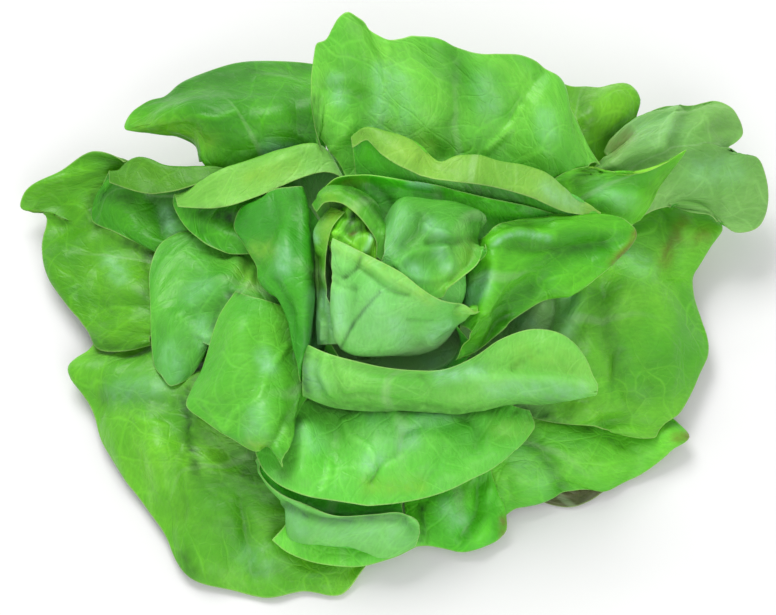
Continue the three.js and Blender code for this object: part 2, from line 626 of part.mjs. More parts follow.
function coreMaterial() {
  return new THREE.MeshStandardMaterial({ color: stemColour, roughness: 0.6, metalness: 0 });
}

function closedSolid(geometry) {
  geometry.deleteAttribute("normal");
  geometry.deleteAttribute("uv");
  const merged = mergeVertices(geometry);
  return solidOf({ places: merged.getAttribute("position").array, faces: merged.index.array });
}

function buildHead() {
  const head = new THREE.Group();
  const stem = new THREE.Mesh(coreGeometry(0), coreMaterial());
  stem.name = "core";
  head.add(stem);
  const outerSolids = [
    { swollen: closedSolid(coreGeometry(blade.gap)), exact: closedSolid(coreGeometry(0)) },
  ];
  const outerTriangles = [];
  leaves.forEach((leaf, order) => {
    const sheet = leafSheet(leaf);
    settle(sheet, outerTriangles, leaf);
    const solid = trimmed(solidOf(leafSkin(sheet, 0)), outerSolids);
    const piece = new THREE.Mesh(geometryOf(solid), leafMaterial(leaf, order));
    piece.name = leaf.name;
    head.add(piece);
    outerTriangles.push(...sheetTriangles(sheet));
    outerSolids.push({ swollen: solidOf(leafSkin(sheet, blade.gap)), exact: solid });
  });
  return head;
}

export default buildHead();
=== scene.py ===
# %% [markdown]
# # A butterhead lettuce, opened out and lying on its cut face
#
# The real thing is a rosette. Some thirty soft leaves grow in a spiral round a short, stout core. The oldest
# leaves are the outermost and lie nearly flat. The youngest are pale and fold over one another into a loose heart.
# Each leaf is a thin blade with a fleshy rib at its base, a net of veins, and a paler, duller underside.
#
# This lesson builds it leaf by leaf. Every leaf is first a smooth sheet drawn through a few given lines.
# Then it is settled on the leaves below it, creased, given its thickness, and lifted into blisters between its
# veins. The imported model gives the frame: every leaf here stands for the plain leaf of the same name there.

# %% The imported model
import math

import bpy
import numpy as np
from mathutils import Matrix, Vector
from mathutils.bvhtree import BVHTree


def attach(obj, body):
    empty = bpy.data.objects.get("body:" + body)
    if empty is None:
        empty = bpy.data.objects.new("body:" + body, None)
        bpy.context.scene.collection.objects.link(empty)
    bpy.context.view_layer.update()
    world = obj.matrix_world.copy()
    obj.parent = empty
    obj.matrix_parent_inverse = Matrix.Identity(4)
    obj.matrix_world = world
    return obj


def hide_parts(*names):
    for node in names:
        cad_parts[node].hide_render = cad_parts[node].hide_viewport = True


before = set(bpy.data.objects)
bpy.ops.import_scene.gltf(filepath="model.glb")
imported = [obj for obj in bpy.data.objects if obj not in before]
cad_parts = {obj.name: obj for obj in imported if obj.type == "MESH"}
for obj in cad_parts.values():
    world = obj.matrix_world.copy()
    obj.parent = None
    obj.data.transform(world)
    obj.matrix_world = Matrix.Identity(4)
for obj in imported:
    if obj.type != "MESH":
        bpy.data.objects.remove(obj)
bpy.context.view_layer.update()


# %% [markdown]
# ## The viewpoint
#
# The photograph looks down on the lettuce from the front, well above the table. The leaves' lines below are
# read off that view, so the camera is settled first. Each point of a line is a place across and down the picture
# together with a height above the table, and `seen_at` turns those three into a place in space. It could also be
# done by eye in the viewport, but a written rule keeps the outline of every leaf where the picture has it.

# %% The rule from picture to space
PICTURE_WIDTH, PICTURE_HEIGHT = 776, 615
MM_PER_PIXEL = 0.4
CAMERA_DISTANCE = 1100.0
CAMERA_RISE = math.radians(65)
LOOKED_AT = np.array([-7.0, 4.0, 40.0])

line_of_sight = np.array([0.0, math.cos(CAMERA_RISE), -math.sin(CAMERA_RISE)])
picture_right = np.array([1.0, 0.0, 0.0])
picture_up = np.array([0.0, math.sin(CAMERA_RISE), math.cos(CAMERA_RISE)])
camera_place = LOOKED_AT - line_of_sight * CAMERA_DISTANCE


def seen_at(across, down, height):
    """The point at that height, in millimetres, that the picture shows at that pixel."""
    aside = (across - PICTURE_WIDTH / 2) * MM_PER_PIXEL
    above = (PICTURE_HEIGHT / 2 - down) * MM_PER_PIXEL
    ray = line_of_sight * CAMERA_DISTANCE + picture_right * aside + picture_up * above
    return camera_place + ray * ((height - camera_place[2]) / ray[2])


def pixel_of(points):
    """Where the picture shows each point, as two arrays."""
    offset = points - camera_place
    scale = CAMERA_DISTANCE / MM_PER_PIXEL / (offset @ line_of_sight)
    return PICTURE_WIDTH / 2 + offset @ picture_right * scale, PICTURE_HEIGHT / 2 - offset @ picture_up * scale


print("the middle of the picture is", seen_at(PICTURE_WIDTH / 2, PICTURE_HEIGHT / 2, LOOKED_AT[2]), "mm")

# %% The camera
MM = 0.001
SENSOR_WIDTH = 36.0
SEES_AS_FAR_AS = 20.0

camera_data = bpy.data.cameras.new("camera")
camera_data.sensor_width = SENSOR_WIDTH
camera_data.sensor_fit = "HORIZONTAL"
camera_data.lens = SENSOR_WIDTH * CAMERA_DISTANCE / (PICTURE_WIDTH * MM_PER_PIXEL)
camera_data.clip_end = SEES_AS_FAR_AS
camera = bpy.data.objects.new("camera", camera_data)
camera.location = camera_place * MM
camera.rotation_euler = (math.pi / 2 - CAMERA_RISE, 0.0, 0.0)
bpy.context.scene.collection.objects.link(camera)
bpy.context.scene.camera = camera
print("camera: lens", round(camera_data.lens, 1), "mm at", [round(x, 3) for x in camera.location])

# %% [markdown]
# ## The floor
#
# The lettuce lies on a plain pale table. One large square is enough for it. It rides on no body, which keeps it out
# of the part itself. Materials are all made the same way here: a new one, with what is the same all over its
# surface set straight on its shader's sockets.

# %% A pale floor
FLOOR_SIZE = 6.0
FLOOR_SHADE = 0.92
FLOOR_FINISH = {"Base Color": (FLOOR_SHADE, FLOOR_SHADE, FLOOR_SHADE, 1), "Roughness": 0.9,
                "Specular IOR Level": 0.1}


def principled(name, values):
    """A new material and its shader node, which holds these values."""
    material = bpy.data.materials.new(name)
    material.use_nodes = True
    shader = material.node_tree.nodes["Principled BSDF"]
    for socket, value in values.items():
        shader.inputs[socket].default_value = value
    return material, shader


half_floor = FLOOR_SIZE / 2
corners = [(-half_floor, -half_floor, 0), (half_floor, -half_floor, 0), (half_floor, half_floor, 0),
           (-half_floor, half_floor, 0)]
floor_mesh = bpy.data.meshes.new("floor")
floor_mesh.from_pydata(corners, [], [(0, 1, 2, 3)])
floor_mesh.materials.append(principled("pale floor", FLOOR_FINISH)[0])
floor = bpy.data.objects.new("floor", floor_mesh)
bpy.context.scene.collection.objects.link(floor)
print("floor:", FLOOR_SIZE, "m wide")

# %% [markdown]
# ## The light
#
# The leaves are waxy and a little wet, so what lights them matters as much as their colour. One large soft lamp
# stands high behind the lettuce, slightly to the left: it draws the pale sheen on the blades and lets the shadows
# fall towards the viewer, into the folds. A weaker one in front keeps those shadows green. A white world gives
# the rest. A sun lamp would be simpler, but its hard shadows would cut the soft leaves to pieces.

# %% Lamps and world
KEY_LAMP = {"power": 10.6, "size": 0.7, "place": (-0.35, 0.75, 1.05)}
FRONT_LAMP = {"power": 6.0, "size": 1.0, "place": (0.3, -1.0, 0.9)}
LAMPS_AIM_AT = Vector((0.0, 0.0, 0.03))
WORLD_STRENGTH = 0.55


def lamp(name, power, size, place):
    """A square soft lamp, in watts and metres, turned towards the lettuce."""
    data = bpy.data.lights.new(name, "AREA")
    data.energy = power
    data.size = size
    item = bpy.data.objects.new(name, data)
    item.location = place
    item.rotation_euler = (LAMPS_AIM_AT - Vector(place)).to_track_quat("-Z", "Y").to_euler()
    bpy.context.scene.collection.objects.link(item)


lamp("key", **KEY_LAMP)
lamp("front fill", **FRONT_LAMP)
world = bpy.data.worlds.new("white world")
bpy.context.scene.world = world
world.use_nodes = True
world.node_tree.nodes["Background"].inputs["Color"].default_value = (1, 1, 1, 1)
world.node_tree.nodes["Background"].inputs["Strength"].default_value = WORLD_STRENGTH
bpy.context.scene.view_settings.view_transform = "Standard"
print("2 lamps and a white world")

# %% [markdown]
# ## The lines of the outermost leaves
#
# A leaf could be sculpted by hand, but then nobody could follow how. Here each leaf is a short list of lines that
# run across it, from its stalk out to its rim. Between the lines the blade is a smooth sheet. `foot` says where the
# leaf leaves the core: its direction in degrees, half of the angle that it holds there, and its height. `stalk` is
# the fleshy part just outside: its distance from the core's axis, half its angle and its height. Then come the
# lines, each point as across, down and height. A leaf marked `polar` hides below the others, so its points are a
# direction, a distance and a height instead. A leaf marked `turned` shows its underside.
#
# The outermost leaf comes first, because every later leaf lies on the ones before it. These oldest leaves lie
# nearly flat on the table, and a withered one is left under the front.

# %% Lines of the outermost leaves
LEAVES = []


def add_leaf(name, **drawing):
    LEAVES.append({"name": name, **drawing})


add_leaf("outer_front_left", foot=(222, 50, 5), stalk=(34, 42, 9), lines=[
    [[222, 352, 22], [204, 390, 26], [204, 425, 28], [238, 455, 24], [285, 485, 16], [335, 505, 8],
     [372, 510, 6]],
    [[150, 338, 16], [128, 385, 17], [148, 440, 20], [187, 480, 20], [235, 520, 13], [290, 545, 6],
     [338, 550, 4]],
    [[100, 334, 8], [88, 352, 8], [70, 368, 8], [84, 395, 7], [103, 443, 6], [140, 500, 5], [160, 527, 5],
     [177, 560, 4], [188, 574, 3], [232, 590, 2], [268, 598, 2], [305, 591, 3], [340, 595, 2], [366, 566, 5]]])
add_leaf("low_back_left", foot=(118, 46, 4), stalk=(36, 40, 8), polar=True, lines=[
    [[82, 62, 12], [104, 66, 14], [126, 64, 14], [146, 60, 14]],
    [[78, 84, 5], [88, 95, 3], [100, 100, 2], [114, 97, 4], [128, 92, 2], [140, 86, 3], [150, 78, 6]]])
add_leaf("low_back_right", foot=(60, 46, 4), stalk=(36, 40, 8), polar=True, lines=[
    [[22, 66, 10], [44, 70, 13], [66, 66, 14], [84, 62, 13]],
    [[16, 92, 5], [28, 106, 3], [40, 112, 2], [54, 106, 4], [66, 100, 2], [76, 96, 3], [86, 84, 6]]])
add_leaf("withered_leaf", foot=(312, 40, 2), stalk=(30, 30, 3), lines=[
    [[510, 490, 3], [545, 484, 3], [575, 474, 3]],
    [[536, 499, 2], [552, 505, 1.5], [572, 507, 1.5], [590, 501, 1.5], [606, 490, 2]]])
add_leaf("outer_front_right", foot=(318, 50, 5), stalk=(36, 40, 9), lines=[
    [[455, 450, 16], [490, 450, 20], [530, 435, 20], [575, 405, 20]],
    [[480, 490, 12], [520, 478, 15], [560, 460, 15], [605, 440, 12], [642, 418, 9]],
    [[500, 525, 6], [508, 514, 5], [540, 501, 4], [560, 494, 5], [582, 491, 5], [605, 492, 4], [620, 485, 4],
     [636, 478, 4], [660, 460, 5], [673, 448, 6], [689, 437, 7], [680, 424, 8], [662, 408, 9]]])
add_leaf("outer_left", foot=(163, 50, 6), stalk=(36, 40, 10), lines=[
    [[215, 190, 24], [190, 230, 21], [182, 270, 22], [190, 310, 25], [218, 345, 25]],
    [[150, 165, 26], [110, 190, 20], [95, 240, 16], [105, 290, 18], [152, 335, 22]],
    [[124, 163, 34], [95, 150, 30], [62, 170, 22], [22, 198, 16], [20, 208, 14], [45, 216, 12], [41, 245, 9],
     [52, 277, 8], [72, 306, 8], [90, 332, 10], [96, 348, 13], [120, 352, 17], [152, 345, 21]]])
add_leaf("outer_back_left", foot=(122, 48, 7), stalk=(36, 38, 15), lines=[
    [[335, 190, 36], [300, 180, 38], [260, 190, 37], [218, 208, 32]],
    [[322, 112, 58], [280, 112, 59], [240, 118, 58], [205, 128, 54], [206, 165, 42]],
    [[318, 66, 48], [280, 60, 45], [240, 64, 43], [200, 75, 41], [180, 85, 39], [166, 95, 38], [148, 101, 37],
     [130, 113, 35], [124, 128, 35], [150, 133, 37], [182, 137, 38], [196, 146, 37], [199, 162, 36]]])
add_leaf("outer_back_right", foot=(62, 48, 7), stalk=(36, 38, 15), lines=[
    [[600, 230, 22], [590, 190, 32], [560, 170, 38], [520, 160, 42], [470, 165, 42]],
    [[640, 170, 32], [625, 135, 44], [600, 120, 52], [570, 115, 54], [520, 115, 52], [470, 120, 50]],
    [[652, 150, 34], [637, 118, 42], [634, 95, 44], [628, 87, 45], [612, 86, 46], [601, 89, 45],
     [582, 86, 46], [563, 83, 48], [535, 84, 48], [500, 88, 46], [465, 95, 44]]])
add_leaf("outer_right", foot=(5, 52, 8), stalk=(36, 42, 14), lines=[
    [[540, 420, 24], [560, 385, 30], [570, 345, 33], [572, 300, 33], [562, 262, 29], [548, 240, 25]],
    [[600, 427, 22], [630, 390, 24], [645, 350, 26], [645, 310, 27], [650, 270, 26], [655, 235, 23],
     [650, 208, 22]],
    [[612, 432, 19], [640, 438, 15], [658, 436, 13], [662, 427, 13], [680, 413, 11], [691, 395, 10],
     [700, 372, 9], [709, 352, 9], [709, 338, 9], [702, 318, 11], [693, 295, 13], [691, 278, 14],
     [701, 260, 15], [714, 240, 17], [722, 230, 18], [716, 216, 18], [698, 202, 19], [674, 198, 20]]])
add_leaf("outer_right_pale", foot=(36, 42, 10), stalk=(36, 30, 20), turned=True, lines=[
    [[575, 185, 38], [600, 178, 42], [622, 180, 42], [640, 193, 40], [650, 212, 36]],
    [[603, 158, 46], [635, 140, 52], [665, 142, 48], [688, 165, 41], [692, 190, 36], [668, 207, 34]],
    [[606, 155, 46], [622, 133, 48], [640, 117, 48], [665, 105, 46], [690, 104, 42], [720, 100, 38],
     [733, 112, 35], [745, 131, 32], [740, 140, 32], [729, 150, 33], [740, 155, 32], [757, 157, 29],
     [766, 180, 25], [767, 200, 22], [757, 228, 22], [735, 232, 25], [714, 217, 29], [690, 212, 32],
     [668, 205, 34]]])
print(len(LEAVES), "leaves, from", LEAVES[0]["name"], "to", LEAVES[-1]["name"])

# %% [markdown]
# ## The lines of the open leaves
#
# The next leaves stand half upright round the heart. Several are rolled, folded or cupped at their rims, and a
# roll is drawn like any other stretch: its lines simply turn back over the blade.

# %% Lines of the open leaves
add_leaf("front_low", foot=(290, 48, 6), stalk=(34, 40, 9), lines=[
    [[400, 470, 12], [430, 475, 15], [470, 470, 15], [500, 460, 14]],
    [[405, 510, 9], [440, 515, 12], [475, 510, 12], [500, 495, 10]],
    [[408, 548, 4], [425, 546, 4], [445, 549, 4], [462, 552, 4], [480, 547, 4], [498, 540, 5], [507, 530, 7],
     [507, 518, 8], [504, 505, 9]]])
add_leaf("front_under", foot=(262, 50, 7), stalk=(34, 40, 12), lines=[
    [[300, 480, 18], [340, 490, 14], [380, 490, 14], [410, 480, 15]],
    [[285, 525, 16], [325, 538, 12], [365, 542, 11], [402, 530, 12]],
    [[272, 540, 15], [285, 551, 12], [305, 560, 10], [335, 566, 9], [365, 566, 8], [380, 562, 8],
     [398, 556, 8], [416, 547, 9]]])
add_leaf("front_cupped", foot=(256, 50, 9), stalk=(34, 42, 16), lines=[
    [[285, 460, 24], [320, 480, 19], [360, 490, 18], [400, 485, 18]],
    [[256, 462, 28], [270, 486, 26], [284, 506, 23], [289, 540, 17], [320, 547, 15], [352, 550, 15],
     [392, 557, 13], [414, 547, 14]],
    [[258, 457, 30], [268, 478, 30], [285, 493, 30], [305, 503, 30], [330, 513, 29], [370, 514, 28],
     [400, 512, 27], [416, 519, 23], [420, 532, 18]]])
add_leaf("front_open", foot=(275, 54, 12), stalk=(34, 46, 22), lines=[
    [[300, 400, 35], [340, 410, 35], [400, 415, 36], [460, 415, 36], [506, 402, 36]],
    [[275, 430, 35], [320, 450, 36], [380, 455, 37], [440, 450, 36], [495, 432, 35], [520, 408, 35]],
    [[255, 452, 34], [262, 468, 34], [278, 484, 35], [300, 494, 35], [335, 501, 35], [375, 505, 34],
     [400, 503, 33], [425, 498, 32], [450, 490, 31], [470, 480, 30], [490, 470, 29], [510, 452, 29],
     [526, 438, 29], [535, 427, 30], [530, 410, 33]]])
add_leaf("left_outer_rolled", foot=(155, 48, 10), stalk=(36, 38, 17), lines=[
    [[222, 180, 44], [218, 166, 44], [215, 185, 36], [215, 215, 29], [222, 250, 27]],
    [[170, 192, 42], [168, 165, 43], [158, 180, 33], [152, 202, 27], [160, 228, 25], [188, 250, 25]],
    [[138, 192, 39], [132, 161, 39], [118, 176, 31], [108, 198, 26], [122, 225, 23], [157, 252, 24]],
    [[110, 183, 33], [109, 172, 33], [103, 184, 27], [95, 202, 23], [92, 222, 21], [110, 231, 21],
     [128, 239, 22], [157, 252, 24]]])
add_leaf("left_tongue", foot=(186, 46, 13), stalk=(33, 40, 24), lines=[
    [[262, 234, 27], [262, 256, 31], [270, 290, 41], [276, 330, 46], [285, 370, 44]],
    [[206, 230, 26], [201, 254, 28], [205, 290, 36], [208, 320, 38], [208, 345, 37]],
    [[174, 233, 25], [160, 243, 25], [151, 264, 25], [148, 290, 24], [150, 330, 23], [153, 362, 22],
     [157, 381, 21], [161, 395, 20], [170, 391, 21], [184, 381, 23], [200, 363, 28], [211, 340, 33]]])
add_leaf("left_inner_rolled", foot=(148, 48, 16), stalk=(34, 38, 28), lines=[
    [[324, 172, 56], [316, 146, 56], [300, 167, 48], [290, 205, 42], [290, 250, 42]],
    [[258, 196, 52], [250, 160, 52], [240, 185, 43], [235, 215, 38], [250, 254, 38]],
    [[210, 208, 45], [200, 181, 45], [192, 198, 38], [196, 222, 34], [230, 254, 35]],
    [[178, 207, 39], [174, 194, 39], [173, 204, 35], [180, 219, 33], [199, 239, 33], [226, 253, 35]]])
add_leaf("back_tall", foot=(88, 52, 16), stalk=(34, 44, 28), lines=[
    [[575, 200, 46], [520, 190, 52], [450, 180, 56], [390, 175, 56], [345, 175, 52]],
    [[590, 165, 56], [550, 130, 66], [500, 120, 68], [440, 115, 70], [380, 112, 70], [335, 115, 67],
     [318, 135, 60]],
    [[600, 165, 52], [582, 134, 60], [568, 108, 66], [561, 83, 70], [549, 71, 74], [522, 55, 80],
     [500, 53, 82], [475, 53, 84], [455, 45, 86], [430, 37, 88], [412, 34, 88], [390, 39, 88], [370, 31, 90],
     [346, 12, 92], [335, 22, 89], [328, 38, 85], [317, 43, 82], [313, 62, 78], [311, 92, 71], [314, 125, 64],
     [322, 152, 58]]])
add_leaf("right_back_fold", foot=(38, 45, 14), stalk=(34, 36, 24), lines=[
    [[600, 235, 38], [585, 215, 43], [566, 200, 45], [545, 192, 46]],
    [[625, 228, 38], [622, 205, 45], [612, 190, 49], [592, 178, 52], [568, 172, 53]],
    [[640, 220, 37], [655, 195, 43], [672, 170, 48], [686, 149, 53], [668, 162, 53], [640, 175, 54],
     [612, 171, 54], [594, 163, 55]]])
add_leaf("left_front_flap", foot=(210, 40, 20), stalk=(31, 32, 32), lines=[
    [[302, 318, 48], [306, 345, 46], [307, 372, 44], [304, 402, 42]],
    [[286, 308, 52], [293, 345, 49], [297, 390, 46], [292, 440, 45]],
    [[252, 296, 53], [247, 340, 55], [250, 390, 52], [268, 430, 49], [284, 456, 46]],
    [[236, 291, 50], [223, 311, 47], [213, 334, 44], [208, 352, 41], [202, 373, 38], [192, 390, 36],
     [186, 404, 36], [205, 421, 36], [233, 439, 39], [258, 451, 42], [270, 450, 44], [281, 467, 44]]])
add_leaf("left_inner", foot=(176, 48, 23), stalk=(28, 42, 36), lines=[
    [[305, 200, 46], [310, 230, 47], [313, 264, 46], [314, 306, 45], [311, 344, 44], [306, 376, 42]],
    [[301, 186, 60], [305, 220, 65], [308, 260, 67], [308, 310, 63], [304, 350, 57], [300, 380, 52]],
    [[272, 189, 56], [264, 218, 58], [262, 245, 60], [266, 272, 61], [280, 303, 60], [294, 335, 58]],
    [[250, 195, 50], [239, 208, 47], [233, 224, 46], [244, 243, 49], [253, 262, 53], [259, 280, 55],
     [268, 292, 57], [284, 304, 59], [296, 332, 57]]])
print(len(LEAVES), "leaves, up to", LEAVES[-1]["name"])

# %% [markdown]
# ## The lines of the wrappers
#
# The wrappers close round the heart like the sides of a bowl. The front and back ones fold over at the top, so
# a pale strip of their underside shows above the deep green inside.

# %% Lines of the wrappers
add_leaf("front_wrap", foot=(245, 62, 26), stalk=(26, 58, 38), lines=[
    [[303, 396, 48], [325, 405, 45], [390, 411, 41], [450, 413, 40], [530, 405, 40], [592, 396, 43]],
    [[303, 372, 54], [320, 382, 56], [345, 388, 57], [400, 390, 58], [450, 388, 58], [490, 381, 58],
     [540, 386, 54], [598, 392, 48]],
    [[305, 346, 58], [320, 351, 61], [343, 358, 63], [381, 367, 63], [410, 370, 63], [445, 369, 63],
     [474, 357, 63], [503, 338, 61], [535, 329, 58], [562, 335, 55], [582, 356, 51], [598, 384, 48]]])
add_leaf("right_wrap", foot=(18, 56, 24), stalk=(27, 50, 42), lines=[
    [[462, 326, 60], [468, 306, 63], [472, 284, 66], [480, 258, 68], [486, 236, 69]],
    [[470, 330, 64], [490, 296, 69], [495, 262, 71], [498, 244, 72], [493, 228, 71]],
    [[466, 342, 61], [492, 310, 63], [522, 285, 61], [552, 262, 61], [572, 243, 61], [552, 228, 65],
     [512, 221, 68]],
    [[455, 360, 58], [480, 350, 57], [500, 331, 56], [522, 314, 54], [548, 299, 53], [570, 294, 52],
     [590, 281, 51], [610, 262, 51], [630, 246, 51], [637, 232, 53], [627, 221, 55], [600, 216, 58],
     [560, 215, 62]]])
add_leaf("back_wrap", foot=(82, 54, 26), stalk=(27, 50, 44), lines=[
    [[600, 226, 54], [540, 205, 62], [470, 192, 66], [400, 184, 66], [356, 178, 60]],
    [[602, 213, 60], [570, 192, 70], [540, 173, 74], [510, 162, 76], [480, 156, 77], [455, 158, 78],
     [438, 160, 78], [428, 148, 79], [415, 140, 80], [390, 134, 80], [364, 128, 79], [352, 138, 73]],
    [[600, 217, 59], [565, 212, 66], [530, 198, 73], [500, 189, 76], [450, 181, 79], [428, 177, 79],
     [400, 167, 80], [380, 153, 79], [368, 140, 77], [353, 148, 72]]])
add_leaf("back_inner", foot=(92, 56, 32), stalk=(25, 52, 50), lines=[
    [[550, 230, 56], [490, 215, 60], [440, 206, 64], [390, 202, 66], [350, 202, 64], [325, 212, 60]],
    [[560, 214, 60], [530, 206, 64], [480, 196, 69], [430, 184, 72], [400, 178, 74], [360, 174, 75],
     [335, 178, 71], [320, 190, 67]]])
add_leaf("inner_cup", foot=(300, 76, 34), stalk=(26, 70, 42), lines=[
    [[326, 350, 46], [350, 372, 42], [400, 380, 42], [440, 374, 42], [462, 352, 46], [462, 320, 52]],
    [[328, 340, 53], [350, 370, 51], [400, 378, 51], [445, 372, 51], [474, 350, 53], [470, 318, 59]]])
print(len(LEAVES), "leaves, up to", LEAVES[-1]["name"])

# %% [markdown]
# ## The lines of the heart
#
# The youngest leaves are small, pale and puckered. They lap over one another round a bud that stays half closed,
# so each one is drawn over the last, from the left one to the bud.

# %% Lines of the heart
add_leaf("heart_left", foot=(180, 46, 38), stalk=(23, 42, 50), lines=[
    [[330, 208, 72], [314, 230, 67], [313, 262, 62], [314, 305, 58], [318, 345, 52]],
    [[345, 212, 78], [333, 226, 77], [327, 250, 72], [327, 290, 67], [334, 318, 63], [340, 344, 58]]])
add_leaf("heart_front", foot=(264, 66, 37), stalk=(22, 62, 51), lines=[
    [[336, 326, 62], [345, 350, 61], [388, 353, 62], [430, 338, 63], [474, 310, 65]],
    [[331, 285, 76], [352, 304, 80], [390, 312, 82], [430, 310, 81], [478, 311, 73]],
    [[333, 238, 84], [350, 246, 87], [366, 254, 89], [382, 262, 90], [402, 273, 89], [422, 289, 86],
     [441, 300, 83], [458, 304, 79], [480, 311, 74]]])
add_leaf("heart_right", foot=(70, 70, 38), stalk=(23, 64, 53), lines=[
    [[470, 274, 64], [482, 214, 70], [432, 199, 73], [402, 200, 74], [389, 226, 74]],
    [[486, 254, 75], [468, 238, 80], [430, 232, 84], [402, 238, 85], [386, 250, 84]],
    [[485, 244, 78], [478, 264, 78], [462, 278, 79], [449, 289, 80], [442, 298, 80], [420, 290, 83],
     [398, 274, 85], [382, 262, 83]]])
add_leaf("heart_curl", foot=(140, 60, 38), stalk=(22, 54, 54), lines=[
    [[388, 268, 70], [393, 238, 72], [386, 212, 74], [368, 195, 76], [345, 187, 76], [325, 189, 73],
     [312, 205, 67]],
    [[382, 262, 78], [386, 240, 81], [378, 219, 83], [362, 201, 84], [342, 190, 83], [324, 192, 79],
     [314, 208, 72]],
    [[376, 256, 78], [376, 242, 80], [368, 228, 82], [355, 213, 84], [340, 203, 83], [325, 203, 80],
     [317, 212, 75]]])
add_leaf("heart_inner", foot=(325, 85, 43), stalk=(16, 80, 56), polar=True, lines=[
    [[245, 21, 66], [280, 21, 67], [315, 22, 68], [350, 23, 68], [385, 25, 68]],
    [[250, 12, 77], [285, 13, 79], [320, 14, 79], [355, 15, 79], [385, 17, 77]]])
add_leaf("heart_bud", foot=(145, 58, 42), stalk=(17, 52, 58), lines=[
    [[384, 262, 66], [378, 228, 68], [352, 212, 68], [334, 220, 66], [330, 258, 62]],
    [[380, 256, 74], [374, 226, 77], [352, 207, 79], [334, 209, 78], [326, 238, 73]],
    [[377, 258, 76], [368, 238, 79], [350, 228, 80], [340, 230, 79], [331, 246, 75]],
    [[372, 262, 74], [362, 254, 76], [352, 250, 77], [343, 248, 76], [336, 256, 73]]])
points = sum(len(line) for drawing in LEAVES for line in drawing["lines"])
print(len(LEAVES), "leaves with", points, "points in their lines")

# %% [markdown]
# ## Smooth curves through points
#
# Three small tools make a smooth sheet out of the lines. `smooth_through` draws a curve through any list of
# points or of whole lines. `shares_along` says how far along a line each point is. `even_steps` walks along one
# line in equal steps. Blender's curve objects do this too, but with plain arrays the result is at hand at once.

# %% The smooth curve
def smooth_through(values, places, wanted):
    """A smooth curve through values, which stand at places, read off at the wanted places."""
    values = np.asarray(values, float)
    gaps = np.diff(places).reshape(-1, *[1] * (values.ndim - 1))
    slopes = np.diff(values, axis=0) / gaps
    tangents = np.concatenate([slopes[:1], slopes[-1:]])
    if len(values) > 2:
        middle = (slopes[:-1] * gaps[1:] + slopes[1:] * gaps[:-1]) / (gaps[1:] + gaps[:-1])
        tangents = np.concatenate([slopes[:1], middle, slopes[-1:]])
    piece = np.clip(np.searchsorted(places, wanted, side="right") - 1, 0, len(values) - 2)
    gap = gaps[piece]
    t = (wanted - places[piece]).reshape(gap.shape[0], *[1] * (values.ndim - 1)) / gap
    start, end = values[piece], values[piece + 1]
    leave, arrive = tangents[piece] * gap, tangents[piece + 1] * gap
    return ((2 * t ** 3 - 3 * t ** 2 + 1) * start + (t ** 3 - 2 * t ** 2 + t) * leave
            + (3 * t ** 2 - 2 * t ** 3) * end + (t ** 3 - t ** 2) * arrive)


def shares_along(steps):
    """How far along each point is, from 0 to 1, when steps are the lengths between points."""
    return np.concatenate([[0.0], np.cumsum(steps)]) / steps.sum()


def even_steps(line, cells):
    line = np.asarray(line, float)
    steps = np.linalg.norm(np.diff(line, axis=0), axis=1)
    return smooth_through(line, shares_along(steps), np.linspace(0, 1, cells + 1))


print("a corner in even steps:", even_steps([[0, 0], [2, 0], [2, 2]], 4).round(2).tolist())

# %% [markdown]
# ## From lines to a sheet
#
# Every leaf starts as two arcs round the core, its foot and its stalk, and goes on through its own lines. All
# lines are evened out first, and then smooth curves run through them from foot to rim. A lofted surface patch
# would do the same, but a plain grid of points stays easy to crease and settle later.

# %% The core's shape and the sheet through a leaf's lines
CORE_FOOT_RADIUS = 15.0
CORE_TOP_RADIUS = 6.0
CORE_HEIGHT = 48.0
CORE_TAPER = 1.5
FOOT_CLEARANCE = 0.8
ARC_POINTS = 7
LOWEST = 1.0
ROUGH_CELLS = 40


def core_radius(height):
    share = min(max(height / CORE_HEIGHT, 0.0), 1.0)
    return CORE_FOOT_RADIUS - (CORE_FOOT_RADIUS - CORE_TOP_RADIUS) * share ** CORE_TAPER


def polar(direction, distance, height):
    angle = math.radians(direction)
    return [distance * math.cos(angle), distance * math.sin(angle), height]


def arc(direction, half_angle, distance, height):
    """Points round the core's axis, anticlockwise seen from above."""
    steps = np.linspace(-half_angle, half_angle, ARC_POINTS)
    return np.array([polar(direction + step, distance, height) for step in steps])


def lines_of(leaf):
    """All lines of a leaf as points in space, from its foot on the core to its rim."""
    direction, half_angle, height = leaf["foot"]
    distance, stalk_half_angle, stalk_height = leaf["stalk"]
    low = [arc(direction, half_angle, core_radius(height) + FOOT_CLEARANCE, height),
           arc(direction, stalk_half_angle, distance, stalk_height)]
    if leaf.get("turned"):
        low = [line[::-1] for line in low]
    place = polar if leaf.get("polar") else seen_at
    return low + [np.array([place(*point) for point in line]) for line in leaf["lines"]]


def sheet_of(leaf):
    """The leaf as a grid of points, in rows from foot to rim, and the share of it that is stalk."""
    lines = np.array([even_steps(line, ROUGH_CELLS) for line in lines_of(leaf)])
    shares = shares_along(np.linalg.norm(np.diff(lines, axis=0), axis=2).mean(axis=1))
    sheet = smooth_through(lines, shares, np.linspace(0, 1, ROUGH_CELLS + 1))
    sheet[..., 2] = np.maximum(sheet[..., 2], LOWEST)
    return sheet, shares[2]


sheets, stalk_share = {}, {}
for leaf in LEAVES:
    sheets[leaf["name"]], stalk_share[leaf["name"]] = sheet_of(leaf)
print(len(sheets), "sheets of", (ROUGH_CELLS + 1) ** 2, "points")

# %% [markdown]
# ## Which leaf lies in the way
#
# Real leaves can't pass through each other. A cloth simulation of thirty curled sheets would take minutes and
# would slump the head, so the leaves are settled by a rule instead. From the outermost inwards, every point of a
# leaf looks along the direction in which the leaves are stacked, towards the heart. A search tree over the earlier
# leaves tells it how far ahead the last of them still lies.

